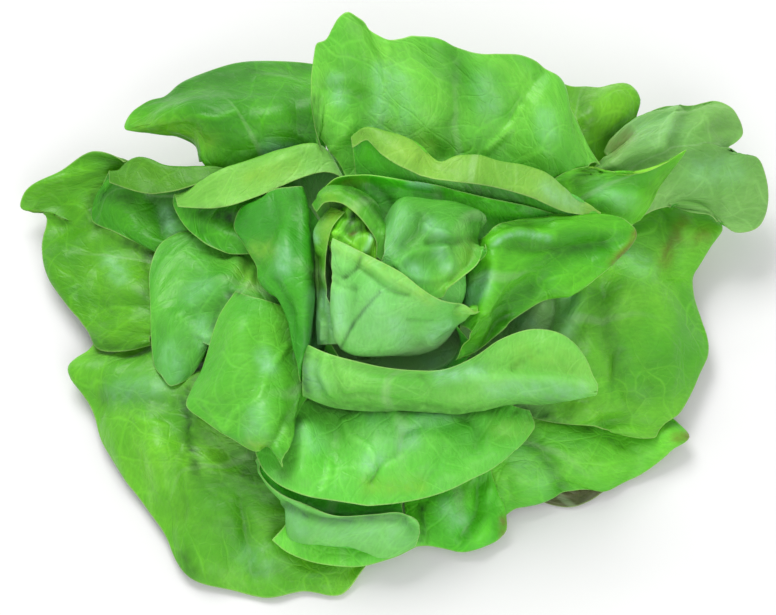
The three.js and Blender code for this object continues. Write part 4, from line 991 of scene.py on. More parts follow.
# %% Paint strokes of the wrappers and the heart
PAINTED |= {
    "inner_cup": {"painted_sheen": [(3, 428, 364, 446, 356)]},
    "front_wrap": {
        "painted_sheen": [(4, 492, 388, 530, 388, 580, 389), (3, 440, 376, 480, 372), (4, 312, 370, 318, 386)],
        "shade": [(3.4, 330, 404, 400, 409, 480, 410, 560, 400), (2.2, 305, 352, 305, 374, 308, 396)],
        "yellow": [(6, 520, 356, 560, 360, 584, 374)]},
    "right_wrap": {
        "painted_sheen": [(2.2, 462, 298, 474, 288, 488, 276), (2.2, 468, 304, 480, 296, 486, 286),
                  (0.9, 493, 245, 502, 238, 514, 234, 534, 235, 550, 238)],
        "shade": [(3.6, 514, 246, 560, 250, 604, 244), (4, 530, 292, 508, 306, 494, 330),
                  (3, 500, 222, 530, 226)],
        "brown": [(1.8, 636, 232, 630, 246, 612, 262)]},
    "back_wrap": {
        "painted_sheen": [(4, 548, 190, 574, 204)],
        "shade": [(3, 470, 188, 520, 200, 550, 210)],
        "yellow": [(5, 400, 148, 430, 160)]},
    "back_inner": {
        "painted_sheen": [(1.6, 410, 183, 430, 185)],
        "shade": [(4, 420, 190, 480, 200, 540, 214), (3, 350, 186, 390, 196)],
        "yellow": [(3, 330, 186, 360, 180)]},
    "heart_right": {
        "painted_sheen": [(4.6, 400, 216, 394, 232, 388, 250), (3, 430, 226, 440, 232), (3, 408, 266, 420, 274),
                  (3, 440, 254, 448, 266)],
        "shade": [(3.8, 422, 216, 414, 232, 402, 244), (4.4, 470, 218, 482, 234), (4.6, 430, 242, 464, 242)],
        "yellow": [(5, 468, 250, 460, 270, 446, 286)]},
    "heart_front": {
        "painted_sheen": [(7, 376, 300, 374, 322), (3, 338, 298, 340, 324), (4, 402, 338, 396, 326),
                  (3.4, 432, 334, 446, 326)],
        "shade": [(0.8, 344, 278, 357, 268, 361, 258),
                  (0.7, 380, 292, 370, 303, 360, 315, 350, 330, 342, 346)],
        "yellow": [(3.6, 340, 246, 366, 260, 400, 280, 430, 298), (3, 462, 312, 474, 312)]},
    "heart_curl": {"shade": [(1.6, 346, 188, 364, 197, 380, 216)], "yellow": [(4, 330, 200, 350, 210)]},
    "heart_bud": {
        "painted_sheen": [(1.2, 372, 236, 366, 250)],
        "shade": [(2.4, 350, 234, 362, 228, 374, 224), (2, 358, 214, 346, 226), (2.4, 362, 212, 344, 214),
                  (1.6, 324, 248, 332, 256)],
        "brown": [(0.8, 350, 235, 355, 233)]},
    "heart_left": {
        "painted_sheen": [(2.6, 314, 300, 316, 322, 318, 346), (1.6, 310, 220, 316, 240),
                  (3, 326, 296, 330, 320, 332, 344)],
        "shade": [(3.4, 314, 262, 316, 290), (1.6, 330, 258, 330, 290)],
        "yellow": [(3, 336, 214, 326, 236)]},
}
print("paint strokes for", len(PAINTED), "leaves so far")

# %% [markdown]
# ## Pressing the creases and laying the paint
#
# A crease is pressed into the sheet the way a thumb would press clay, square to its surface. Its depth falls off
# like a bell to both sides. The colours need to know where the creases run as well, because ridges get a painted
# highlight and valleys painted shade, so each point also keeps its `stroke`, which is how steep a ridge or valley
# it lies on, and how much of each paint it got.

# %% Creases and paint on the sheets
STEPS_TO_A_POINT = 4
FINEST_STROKE = 0.9
TURN_BLUR = 3
NARROW = 2.2


def distance_to(line, across, down):
    """The distance in millimetres of the picture, from each pixel to a smooth line."""
    line = np.reshape(line, (-1, 2))
    line = even_steps(line, STEPS_TO_A_POINT * len(line))
    nearest = np.full(across.shape, np.inf)
    for (x0, y0), (x1, y1) in zip(line[:-1], line[1:]):
        dx, dy = x1 - x0, y1 - y0
        t = np.clip(((across - x0) * dx + (down - y0) * dy) / (dx * dx + dy * dy), 0, 1)
        nearest = np.minimum(nearest, np.hypot(across - x0 - t * dx, down - y0 - t * dy))
    return nearest * MM_PER_PIXEL


def bell(distance, width):
    return np.exp(-(distance / width) ** 2)


def pressed(sheet, creases):
    """The sheet with its creases pressed in towards the viewer, and how steep they are at each point."""
    normal = upper_side(sheet)
    towards = spread(np.sign(-(normal @ line_of_sight)), TURN_BLUR)
    across, down = pixel_of(sheet)
    depth = np.zeros(sheet.shape[:2])
    stroke = np.zeros(sheet.shape[:2])
    for width, height, *line in creases:
        distance = distance_to(line, across, down)
        depth += height * bell(distance, width)
        stroke += np.clip(height / width, -1, 1) * bell(distance, max(width, FINEST_STROKE))
    return sheet + normal * towards[..., None] * depth[..., None], stroke


def painted(sheet, lines_of_paint):
    """How much of each paint every point has. Narrow strokes are strong and broad ones thinner."""
    across, down = pixel_of(sheet)
    amounts = {}
    for paint in PAINTS:
        amounts[paint] = np.zeros(sheet.shape[:2])
        for width, *line in lines_of_paint.get(paint, []):
            amounts[paint] += min(1.0, NARROW / width) * bell(distance_to(line, across, down), width)
    return amounts


creased, strokes, paints = {}, {}, {}
for name, sheet in wavy.items():
    creased[name], strokes[name] = pressed(sheet, CREASES.get(name, []))
    paints[name] = painted(creased[name], PAINTED.get(name, {}))
print("the steepest crease is", round(max(np.abs(stroke).max() for stroke in strokes.values()), 2))

# %% [markdown]
# ## A second, finer settling
#
# The waves and creases may have brought neighbours together again, so each leaf is checked once more against the
# ones below it, now with short looks and small moves. Only every third point looks, and the points between take
# a share of their neighbours' moves.

# %% Clearing what the creases brought together
FINE_GAP = 1.1
FINE_REACH = 3.0
FINE_STRIDE = 3
FINE_BLUR = 1
HELD_ROWS = 2


def every_third(count):
    return np.unique(np.append(np.arange(0, count, FINE_STRIDE), count - 1))


def clear_of(sheet, below):
    """The sheet moved clear of the sheets below it, by small soft moves."""
    rows, columns = every_third(sheet.shape[0]), every_third(sheet.shape[1])
    soft = soft_push(sheet[np.ix_(rows, columns)], tree_of(below), FINE_REACH, FINE_GAP, FINE_BLUR)
    soft[:HELD_ROWS] = 0
    by_row = np.array([np.interp(np.arange(sheet.shape[0]), rows, column) for column in soft.T]).T
    full = np.array([np.interp(np.arange(sheet.shape[1]), columns, row) for row in by_row])
    moved = sheet + stacking(sheet) * full[..., None]
    moved[..., 2] = np.maximum(moved[..., 2], LOWEST)
    return moved


finished = {}
for name, sheet in creased.items():
    finished[name] = clear_of(sheet, list(finished.values())) if finished else sheet
print("cleared", len(finished), "leaves")

# %% [markdown]
# ## The two skins of a leaf
#
# A leaf is about half a millimetre thick, thinner at its rim, with a fleshy rib that stands out underneath. So the
# sheet gets a top and a bottom skin, and the bottom skin is let down along the midrib. Blender's Solidify modifier
# gives an even wall, but it can't thicken the rib or thin the rim.

# %% The blade, its rim and its rib
BLADE = 0.55
RIM_BLADE = 0.26
RIM_TAPER = 2.5
RIB_DEPTH = 3.2
RIB_GROOVE = 0.5
RIB_WIDE, RIB_NARROW = 5.5, 1.1
RIB_LENGTH = 75.0


def skins_of(sheet, beside, up, inward):
    """The points of the upper and of the lower skin, and the direction that the upper side faces."""
    normal = upper_side(sheet)
    half = 0.5 * (RIM_BLADE + (BLADE - RIM_BLADE) * np.clip(inward / RIM_TAPER, 0, 1))
    fade = np.clip(1 - up / RIB_LENGTH, 0, 1)
    rib = bell(beside, RIB_NARROW + (RIB_WIDE - RIB_NARROW) * fade) * fade
    top = sheet + normal * (half - RIB_GROOVE * rib)[..., None]
    bottom = sheet - normal * (half + RIB_DEPTH * rib * fade)[..., None]
    bottom[..., 2] = np.maximum(bottom[..., 2], LOWEST)
    return top, bottom, normal


top, bottom, _ = skins_of(finished[longest_leaf], *places_of(finished[longest_leaf], longest_leaf))
thickness = np.linalg.norm(top - bottom, axis=2)
print("the longest leaf is", thickness.min().round(2), "to", thickness.max().round(2), "mm thick")

# %% [markdown]
# ## From two skins to a closed leaf
#
# A narrow strip all the way round joins the skins, which closes the leaf. The mesh also stores what the relief and
# the colours need at each point: its `place` and how far `up` it is, its distance from the `rim`, where it is on
# the `stalk`, its `stroke`, its paints, the `tint` of its leaf, the way to the upper side as `lift`, and which
# faces are `upper` ones. Each leaf's places start a little further on, so no two leaves share a pattern.

# %% The closed mesh and what it stores
PATTERN_STEP = 211.0


def edge_loop(rows, columns):
    """The points round a grid, in the order that keeps its upper side on the left."""
    grid = np.arange(rows * columns).reshape(rows, columns)
    return np.concatenate([grid[:-1, 0], grid[-1, :-1], grid[:0:-1, -1], grid[0, :0:-1]])


def store(mesh, key, kind, values, field="value"):
    """Stores values on the points of the upper skin, and the same again on the lower."""
    mesh.attributes.new(key, kind, "POINT").data.foreach_set(field, np.tile(values.ravel(), 2))


def closed_leaf(name, sheet, number, tint):
    """A closed mesh of the leaf, in metres, with its places stored on its points."""
    rows, columns = sheet.shape[:2]
    count = rows * columns
    beside, up, inward = places_of(sheet, name)
    top, bottom, normal = skins_of(sheet, beside, up, inward)
    faces_up = quads_of(rows, columns)
    loop = edge_loop(rows, columns)
    after = np.roll(loop, -1)
    strip = np.stack([after, loop, loop + count, after + count], 1)
    faces = np.concatenate([faces_up, faces_up[:, ::-1] + count, strip])
    mesh = bpy.data.meshes.new(name)
    mesh.from_pydata((np.concatenate([top, bottom]).reshape(-1, 3) * MM).tolist(), [], faces.tolist())
    mesh.polygons.foreach_set("use_smooth", np.ones(len(faces), bool))
    place = np.stack([beside, up + PATTERN_STEP * number, np.zeros_like(up)], -1)
    store(mesh, "place", "FLOAT_VECTOR", place, "vector")
    store(mesh, "lift", "FLOAT_VECTOR", normal, "vector")
    stalk = up / up[round(stalk_share[name] * (rows - 1))].mean()
    numbers = {"up": up, "rim": inward, "stalk": stalk, "stroke": strokes[name], **paints[name]}
    for key, values in numbers.items():
        store(mesh, key, "FLOAT", values)
    store(mesh, "tint", "FLOAT_COLOR", np.tile([*tint, 1.0], count), "color")
    is_upper = np.arange(len(faces)) < len(faces_up)
    mesh.attributes.new("upper", "BOOLEAN", "FACE").data.foreach_set("value", is_upper)
    mesh.validate()
    return mesh


print("a leaf's rim takes", len(edge_loop(*finished[longest_leaf].shape[:2])), "points at most")

# %% [markdown]
# ## Node helpers
#
# The relief and the finishes are both made of nodes, and the texture nodes exist both in Geometry Nodes and in
# the shader, so a few small helpers serve both. `node` adds any node to a tree. The others add one or two and
# hand back the output to use next.

# %% Helpers that add a node
def node(tree, kind, inputs=(), **settings):
    """A new node. Inputs are pairs of a socket's name or number and a value or another node's output."""
    item = tree.nodes.new(kind)
    for key, value in settings.items():
        setattr(item, key, value)
    for socket, value in inputs:
        if isinstance(value, bpy.types.NodeSocket):
            tree.links.new(value, item.inputs[socket])
        else:
            item.inputs[socket].default_value = value
    return item


def sums(tree, operation, *values):
    return node(tree, "ShaderNodeMath", enumerate(values), operation=operation).outputs[0]


def times(tree, first, second):
    return sums(tree, "MULTIPLY", first, second)


def vectors(tree, operation, *inputs):
    """Arithmetic on whole vectors."""
    return node(tree, "ShaderNodeVectorMath", inputs, operation=operation).outputs[0]


def ramp(tree, value, low, high):
    """From 0 to 1 as value goes smoothly from low to high."""
    inputs = [("Value", value), ("From Min", low), ("From Max", high)]
    return node(tree, "ShaderNodeMapRange", inputs, interpolation_type="SMOOTHSTEP").outputs[0]


def fall(tree, value, low, high):
    """From 1 to 0 as value goes smoothly from low to high."""
    return sums(tree, "SUBTRACT", 1.0, ramp(tree, value, low, high))


def cloud(tree, place, pitch, detail, output="Fac"):
    """A soft noise whose patches are about pitch millimetres across."""
    inputs = [("Vector", place), ("Scale", 1 / pitch), ("Detail", detail)]
    return node(tree, "ShaderNodeTexNoise", inputs, noise_dimensions="2D").outputs[output]


print("7 helpers for nodes")

# %% [markdown]
# ## The net of veins, shared by relief and colour
#
# Veins fence the blade into rounded cells. A Voronoi texture does the same: its distance to the nearest border is
# zero on a vein and largest in the middle of a cell. Its places are first stirred with a noise, so the cells lose
# their straight sides. One helper builds the net for the blisters and for the painted veins, so they agree. There
# are two nets, a wide one and a fine one, and all their sizes are in millimetres.

# %% The vein nets
WIDE_NET = {"pitch": 17.0, "stir": 9.0, "stir_pitch": 24.0}
FINE_NET = {"pitch": 5.2, "stir": 3.0, "stir_pitch": 7.0}
NOISE_MIDDLE = (0.5, 0.5, 0.5)


def vein_distance(tree, place, pitch, stir, stir_pitch):
    """How far the nearest vein of a net is."""
    stirred = cloud(tree, place, stir_pitch, 0.0, "Color")
    centred = vectors(tree, "SUBTRACT", (0, stirred), (1, NOISE_MIDDLE))
    moved = vectors(tree, "SCALE", (0, centred), ("Scale", stir))
    shifted = vectors(tree, "ADD", (0, place), (1, moved))
    cells = node(tree, "ShaderNodeTexVoronoi", [("Vector", shifted), ("Scale", 1 / pitch)],
                 voronoi_dimensions="2D", feature="DISTANCE_TO_EDGE")
    return times(tree, cells.outputs["Distance"], pitch)


print("vein nets with cells of", WIDE_NET["pitch"], "and", FINE_NET["pitch"], "mm")

# %% [markdown]
# ## Blisters between the veins, by Geometry Nodes
#
# The blade swells between its veins, most on the big outer leaves. This repeats over the whole surface, which is
# what Geometry Nodes are good at: one tree reads each leaf's places, finds the nearest vein, and moves the points
# along `lift`. Blisters fill the wide net and small puckers the fine one. Both fade out towards the smooth stalk
# and the rim. The last nodes give the upper side and the underside their own finish.

# %% The relief tree
BLISTER_SHOULDER = 0.42
PUCKER_SHOULDER = 0.4
SMOOTH_UP_TO, FULL_FROM = 18.0, 45.0
RIM_SMOOTH, RIM_FULL = -1.0, 4.0


def kept(tree, name, kind):
    """What closed_leaf stored under that name."""
    return node(tree, "GeometryNodeInputNamedAttribute", [("Name", name)], data_type=kind).outputs[0]


def relief_height(tree, blister_height, pucker_height):
    """How far each point is lifted, in millimetres."""
    place = kept(tree, "place", "FLOAT_VECTOR")
    net = vein_distance(tree, place, **WIDE_NET)
    small = vein_distance(tree, place, **FINE_NET)
    blister = times(tree, ramp(tree, net, 0.0, BLISTER_SHOULDER * WIDE_NET["pitch"]), blister_height)
    pucker = times(tree, ramp(tree, small, 0.0, PUCKER_SHOULDER * FINE_NET["pitch"]), pucker_height)
    beyond_stalk = ramp(tree, kept(tree, "up", "FLOAT"), SMOOTH_UP_TO, FULL_FROM)
    height = times(tree, sums(tree, "ADD", blister, pucker), beyond_stalk)
    return times(tree, height, ramp(tree, kept(tree, "rim", "FLOAT"), RIM_SMOOTH, RIM_FULL))


def relief_tree():
    """Returns the tree and the identifiers of its named inputs."""
    tree = bpy.data.node_groups.new("blisters between veins", "GeometryNodeTree")
    add_socket = tree.interface.new_socket
    add_socket("Geometry", in_out="INPUT", socket_type="NodeSocketGeometry")
    names = {}
    for name, kind in (("Blister height", "Float"), ("Pucker height", "Float"),
                       ("Upper finish", "Material"), ("Under finish", "Material")):
        names[name] = add_socket(name, in_out="INPUT", socket_type="NodeSocket" + kind).identifier
    add_socket("Geometry", in_out="OUTPUT", socket_type="NodeSocketGeometry")
    given = node(tree, "NodeGroupInput").outputs
    height = times(tree, relief_height(tree, given["Blister height"], given["Pucker height"]), MM)
    offset = vectors(tree, "SCALE", (0, kept(tree, "lift", "FLOAT_VECTOR")), ("Scale", height))
    moved = node(tree, "GeometryNodeSetPosition", [("Geometry", given["Geometry"]), ("Offset", offset)])
    real = node(tree, "GeometryNodeRealizeInstances", [("Geometry", moved.outputs[0])])
    under = node(tree, "GeometryNodeSetMaterial",
                 [("Geometry", real.outputs[0]), ("Material", given["Under finish"])])
    both = node(tree, "GeometryNodeSetMaterial",
                [("Geometry", under.outputs[0]), ("Selection", kept(tree, "upper", "BOOLEAN")),
                 ("Material", given["Upper finish"])])
    node(tree, "NodeGroupOutput", [("Geometry", both.outputs[0])])
    return tree, names


relief, relief_inputs = relief_tree()
print("relief tree with inputs", list(relief_inputs))

# %% [markdown]
# ## The greens of a leaf
#
# Leaf green is never one green. Each finish has a lighter and a darker shade, mixed in broad patches. A smaller
# mottle and the fine fibres along the blade break the patches up. Colours are written as a screen shows them, 0 to
# 255, and `colour` turns them into what the shader takes.

# %% Tones, and the colour of the bare blade
TONES = {
    "deep": [(90, 172, 36), (54, 130, 18)],
    "olive": [(106, 182, 44), (70, 146, 26)],
    "meadow": [(98, 192, 50), (64, 158, 30)],
    "bright": [(108, 208, 62), (74, 178, 38)],
    "cool": [(108, 200, 82), (72, 168, 52)],
    "young": [(146, 206, 72), (102, 178, 46)],
    "pale_under": [(137, 181, 94), (106, 159, 65)],
    "cool_under": [(142, 196, 112), (112, 172, 82)],
    "olive_under": [(100, 152, 54), (76, 130, 38)],
    "green_under": [(136, 210, 100), (104, 188, 70)],
    "heart_under": [(152, 220, 132), (116, 198, 92)],
    "withered": [(110, 118, 66), (62, 74, 36)],
}
PATCH_PITCH, PATCH_DETAIL, PATCH_EDGES = 38.0, 3.0, (0.26, 0.74)
MOTTLE_PITCH, MOTTLE_DETAIL, MOTTLE_EDGES = 5.0, 5.0, (0.35, 0.65)
MOTTLE_SHARE, MOTTLE_GAIN = 0.3, 1.15
FIBRE_PITCH, FIBRE_DETAIL, FIBRE_EDGES = 1.2, 5.0, (0.3, 0.7)
FIBRE_STRETCH = (1.0, 0.4, 1.0)
FIBRE_SHARE, FIBRE_GAIN = 0.24, 0.75


def linear(part):
    """A screen value from 0 to 1 as an amount of light."""
    return part / 12.92 if part <= 0.04045 else ((part + 0.055) / 1.055) ** 2.4


def colour(red, green, blue, gain=1.0):
    """A screen colour, 0 to 255, as the colour that a shader takes, gain times as light."""
    return tuple(min(1.0, linear(part / 255) * gain) for part in (red, green, blue)) + (1.0,)


def mixed(tree, share, first, second, **settings):
    """The first colour where share is 0 and the second where it is 1."""
    inputs = [(0, share), (6, first), (7, second)]
    return node(tree, "ShaderNodeMix", inputs, data_type="RGBA", **settings).outputs[2]


def bare_blade(tree, name, place, mottle, fibre):
    light, dark = TONES[name]
    patches = ramp(tree, cloud(tree, place, PATCH_PITCH, PATCH_DETAIL), *PATCH_EDGES)
    blade = mixed(tree, patches, colour(*dark), colour(*light))
    blade = mixed(tree, times(tree, mottle, MOTTLE_SHARE), blade, colour(*dark, MOTTLE_GAIN))
    fibres = times(tree, ramp(tree, fibre, *FIBRE_EDGES), FIBRE_SHARE)
    return mixed(tree, fibres, blade, colour(*dark, FIBRE_GAIN))


print(len(TONES), "pairs of tones")

# %% [markdown]
# ## Painted veins
#
# Veins are paler than the blade between them. Side veins leave the midrib at a slant and wander a little, and the
# two nets fill the space between them. Not every stretch of a vein shows: a broad noise lets them fade in and out.
# The creases take part too, as painted light: a ridge is drawn in the pale tone of the veins as a painted
# highlight, and a valley in a deep green as painted shade.

# %% Side veins, nets, ridges and valleys
SIDE_VEIN_PITCH, SIDE_VEIN_SLANT, SIDE_VEIN_EDGE = 17.0, 0.85, 1.3
SIDE_VEIN_WANDER, WANDER_PITCH, WANDER_DETAIL = 16.0, 22.0, 1.0
WIDE_NET_EDGE, WIDE_NET_SHARE = 1.0, 0.8
FINE_NET_EDGE, FINE_NET_SHARE = 0.5, 0.5
VEIN_GAIN, VEIN_SHARE, FAINTEST_VEIN = 1.3, 0.22, 0.06
FADE_PITCH, FADE_DETAIL, FADE_EDGES = 30.0, 2.0, (0.38, 0.62)
FULL_STROKE, RIDGE_HIGHLIGHT_SHARE, VALLEY_SHADE_SHARE, VALLEY_SHADE_GAIN = 1.2, 0.35, 0.4, 0.4


def vein_lines(tree, place, up, aside):
    """1 on a vein and 0 away from it. Up is along the midrib, and aside is the distance from it."""
    wander = times(tree, cloud(tree, place, WANDER_PITCH, WANDER_DETAIL), SIDE_VEIN_WANDER)
    slanted = sums(tree, "ADD", sums(tree, "MULTIPLY_ADD", aside, -SIDE_VEIN_SLANT, up), wander)
    side_vein = fall(tree, sums(tree, "PINGPONG", slanted, SIDE_VEIN_PITCH / 2), 0.0, SIDE_VEIN_EDGE)
    wide = fall(tree, vein_distance(tree, place, **WIDE_NET), 0.0, WIDE_NET_EDGE)
    small = fall(tree, vein_distance(tree, place, **FINE_NET), 0.0, FINE_NET_EDGE)
    main_vein = sums(tree, "MAXIMUM", side_vein, times(tree, wide, WIDE_NET_SHARE))
    return sums(tree, "MAXIMUM", main_vein, times(tree, small, FINE_NET_SHARE))


def with_veins(tree, name, blade, place, vein, stroke):
    """The blade's colour with its veins, with painted highlight on the ridges of its creases and painted shade in
    the valleys.
    """
    light, dark = TONES[name]
    vein_colour = colour(*light, VEIN_GAIN)
    seen = ramp(tree, cloud(tree, place, FADE_PITCH, FADE_DETAIL), *FADE_EDGES)
    amount = times(tree, vein, sums(tree, "MULTIPLY_ADD", seen, VEIN_SHARE, FAINTEST_VEIN))
    blade = mixed(tree, amount, blade, vein_colour)
    # Ridges are painted lighter, a painted highlight, and valleys darker, painted shade.
    ridge = times(tree, ramp(tree, stroke, 0.0, FULL_STROKE), RIDGE_HIGHLIGHT_SHARE)
    blade = mixed(tree, ridge, blade, vein_colour)
    valley_shade = times(tree, ramp(tree, times(tree, stroke, -1.0), 0.0, FULL_STROKE), VALLEY_SHADE_SHARE)
    return mixed(tree, valley_shade, blade, colour(*dark, VALLEY_SHADE_GAIN))


print("side veins every", SIDE_VEIN_PITCH, "mm")

# %% [markdown]
# ## Stalk, rib, rim and paint
#
# Towards the core every leaf turns pale. The midrib keeps that paleness for a while and narrows as it goes, and a
# thin light line follows the rim. Last come the four paints of the strokes: a painted sheen, painted shade, and the
# brown and yellow of the leaf itself. A noise makes them patchy, so no stroke has a clean outline.

# %% Pale parts and paints
RIB_COLOUR = (176, 214, 156)
RIM_COLOUR = (186, 222, 130)
RIB_RANGE = {"From Min": 10.0, "From Max": 110.0, "To Min": 6.0, "To Max": 0.9}
RIB_EDGES, RIB_STALKS, RIB_SHARE = (0.2, 1.0), (1.0, 1.8), 0.3
STALK_EDGES, STALK_SHARE = (0.55, 1.1), 0.8
RIM_EDGES, RIM_SHARE = (0.1, 0.7), 0.4
# The pale bluish-white paint is a painted highlight and the dark green one painted shade.
PAINT_COLOURS = {"yellow": ((156, 208, 58), 0.5), "shade": ((24, 70, 14), 0.52),
                 "painted_sheen": ((170, 232, 190), 0.45), "brown": ((124, 84, 40), 0.5)}
PATCHY_PITCH, PATCHY_DETAIL, PATCHY_GAIN, PATCHY_SHIFT = 4.6, 4.0, 2.2, -1.1


def stored(tree, name, output="Fac"):
    """What closed_leaf stored under that name, as the shader reads it."""
    return node(tree, "ShaderNodeAttribute", attribute_name=name).outputs[output]


def with_pale_parts(tree, blade, up, aside):
    """The blade's colour with its stalk, midrib and rim. A stalk is 1 long, so its end is at 1."""
    stalk = stored(tree, "stalk")
    rib_width = node(tree, "ShaderNodeMapRange", [("Value", up), *RIB_RANGE.items()]).outputs[0]
    on_rib = fall(tree, sums(tree, "DIVIDE", aside, rib_width), *RIB_EDGES)
    rib = times(tree, on_rib, times(tree, fall(tree, stalk, *RIB_STALKS), RIB_SHARE))
    on_stalk = times(tree, fall(tree, stalk, *STALK_EDGES), STALK_SHARE)
    blade = mixed(tree, sums(tree, "MAXIMUM", rib, on_stalk), blade, colour(*RIB_COLOUR))
    on_rim = times(tree, fall(tree, stored(tree, "rim"), *RIM_EDGES), RIM_SHARE)
    return mixed(tree, on_rim, blade, colour(*RIM_COLOUR))


def with_paints(tree, blade, place):
    patches = cloud(tree, place, PATCHY_PITCH, PATCHY_DETAIL)
    uneven = sums(tree, "MULTIPLY_ADD", patches, PATCHY_GAIN, PATCHY_SHIFT)
    # The bluish-white paint lays on a painted highlight and the dark green paint painted shade; brown and yellow
    # are the leaf's own colours.
    for paint, (shade, most) in PAINT_COLOURS.items():
        amount = stored(tree, paint)
        patchy = sums(tree, "MULTIPLY_ADD", amount, uneven, amount)
        blade = mixed(tree, times(tree, patchy, most), blade, colour(*shade))
    return blade


print(len(PAINT_COLOURS), "paints")

# %% [markdown]
# ## The finish of a leaf
#
# Now the colour is put together, and the surface gets its feel. A little subsurface scattering lets light through
# the thin blade, and a clear coat gives the waxy sheen, less of it on the dull underside. A bump follows the
# fibres, a fine pucker and the veins, which are sunk a little. All of it reads the leaf's own places, so it stays
# put when the leaf is turned.

# %% One finish for each tone
LEAF_BODY = {"Subsurface Weight": 0.15, "Subsurface Radius": (0.6, 1.0, 0.25), "Subsurface Scale": 1.5 * MM,
             "Specular IOR Level": 0.35, "Coat Roughness": 0.28}
UPPER_ROUGHNESS, UPPER_COAT = 0.4, 0.16
UNDER_ROUGHNESS, UNDER_COAT = 0.46, 0.08
MOTTLE_ROUGHNESS = 0.14
PUCKER_PITCH, PUCKER_DETAIL = 4.0, 3.0
PUCKER_BUMP, FIBRE_BUMP, VEIN_BUMP = 0.4, 0.09, -0.14


def leaf_finish(name):
    """The material for one side of a leaf."""
    is_under = "under" in name
    coat = UNDER_COAT if is_under else UPPER_COAT
    material, shader = principled(name, {**LEAF_BODY, "Coat Weight": coat})
    tree = material.node_tree
    place, up, stroke = stored(tree, "place", "Vector"), stored(tree, "up"), stored(tree, "stroke")
    aside = sums(tree, "ABSOLUTE", node(tree, "ShaderNodeSeparateXYZ", [(0, place)]).outputs["X"])
    mottle = ramp(tree, cloud(tree, place, MOTTLE_PITCH, MOTTLE_DETAIL), *MOTTLE_EDGES)
    fibre = cloud(tree, vectors(tree, "MULTIPLY", (0, place), (1, FIBRE_STRETCH)), FIBRE_PITCH, FIBRE_DETAIL)
    vein = vein_lines(tree, place, up, aside)
    blade = with_veins(tree, name, bare_blade(tree, name, place, mottle, fibre), place, vein, stroke)
    blade = mixed(tree, 1.0, blade, stored(tree, "tint", "Color"), blend_type="MULTIPLY")
    blade = with_paints(tree, with_pale_parts(tree, blade, up, aside), place)
    tree.links.new(blade, shader.inputs["Base Color"])
    roughness = UNDER_ROUGHNESS if is_under else UPPER_ROUGHNESS
    tree.links.new(sums(tree, "MULTIPLY_ADD", mottle, MOTTLE_ROUGHNESS, roughness), shader.inputs["Roughness"])
    pucker = times(tree, cloud(tree, place, PUCKER_PITCH, PUCKER_DETAIL), PUCKER_BUMP)
    height = sums(tree, "MULTIPLY_ADD", vein, VEIN_BUMP, sums(tree, "MULTIPLY_ADD", fibre, FIBRE_BUMP, pucker))
    bump = node(tree, "ShaderNodeBump", [("Height", height), ("Strength", 1.0), ("Distance", MM)])
    tree.links.new(bump.outputs[0], shader.inputs["Normal"])
    return material


FINISHES = {name: leaf_finish(name) for name in TONES}
print(len(FINISHES), "leaf finishes")

# %% [markdown]
# ## The look of each leaf
#
# Leaves of one head differ. Each one names its slot, which says what kind of leaf it is, the finish of its upper
# side and of its underside, and a tint that multiplies both. The tint is partly the leaf's own colour and partly
# painted light, which makes a leaf deep in shadow, such as inner_cup, lighter and some leaves in full light darker.
# Each slot has its own height of blisters and of puckers in millimetres.

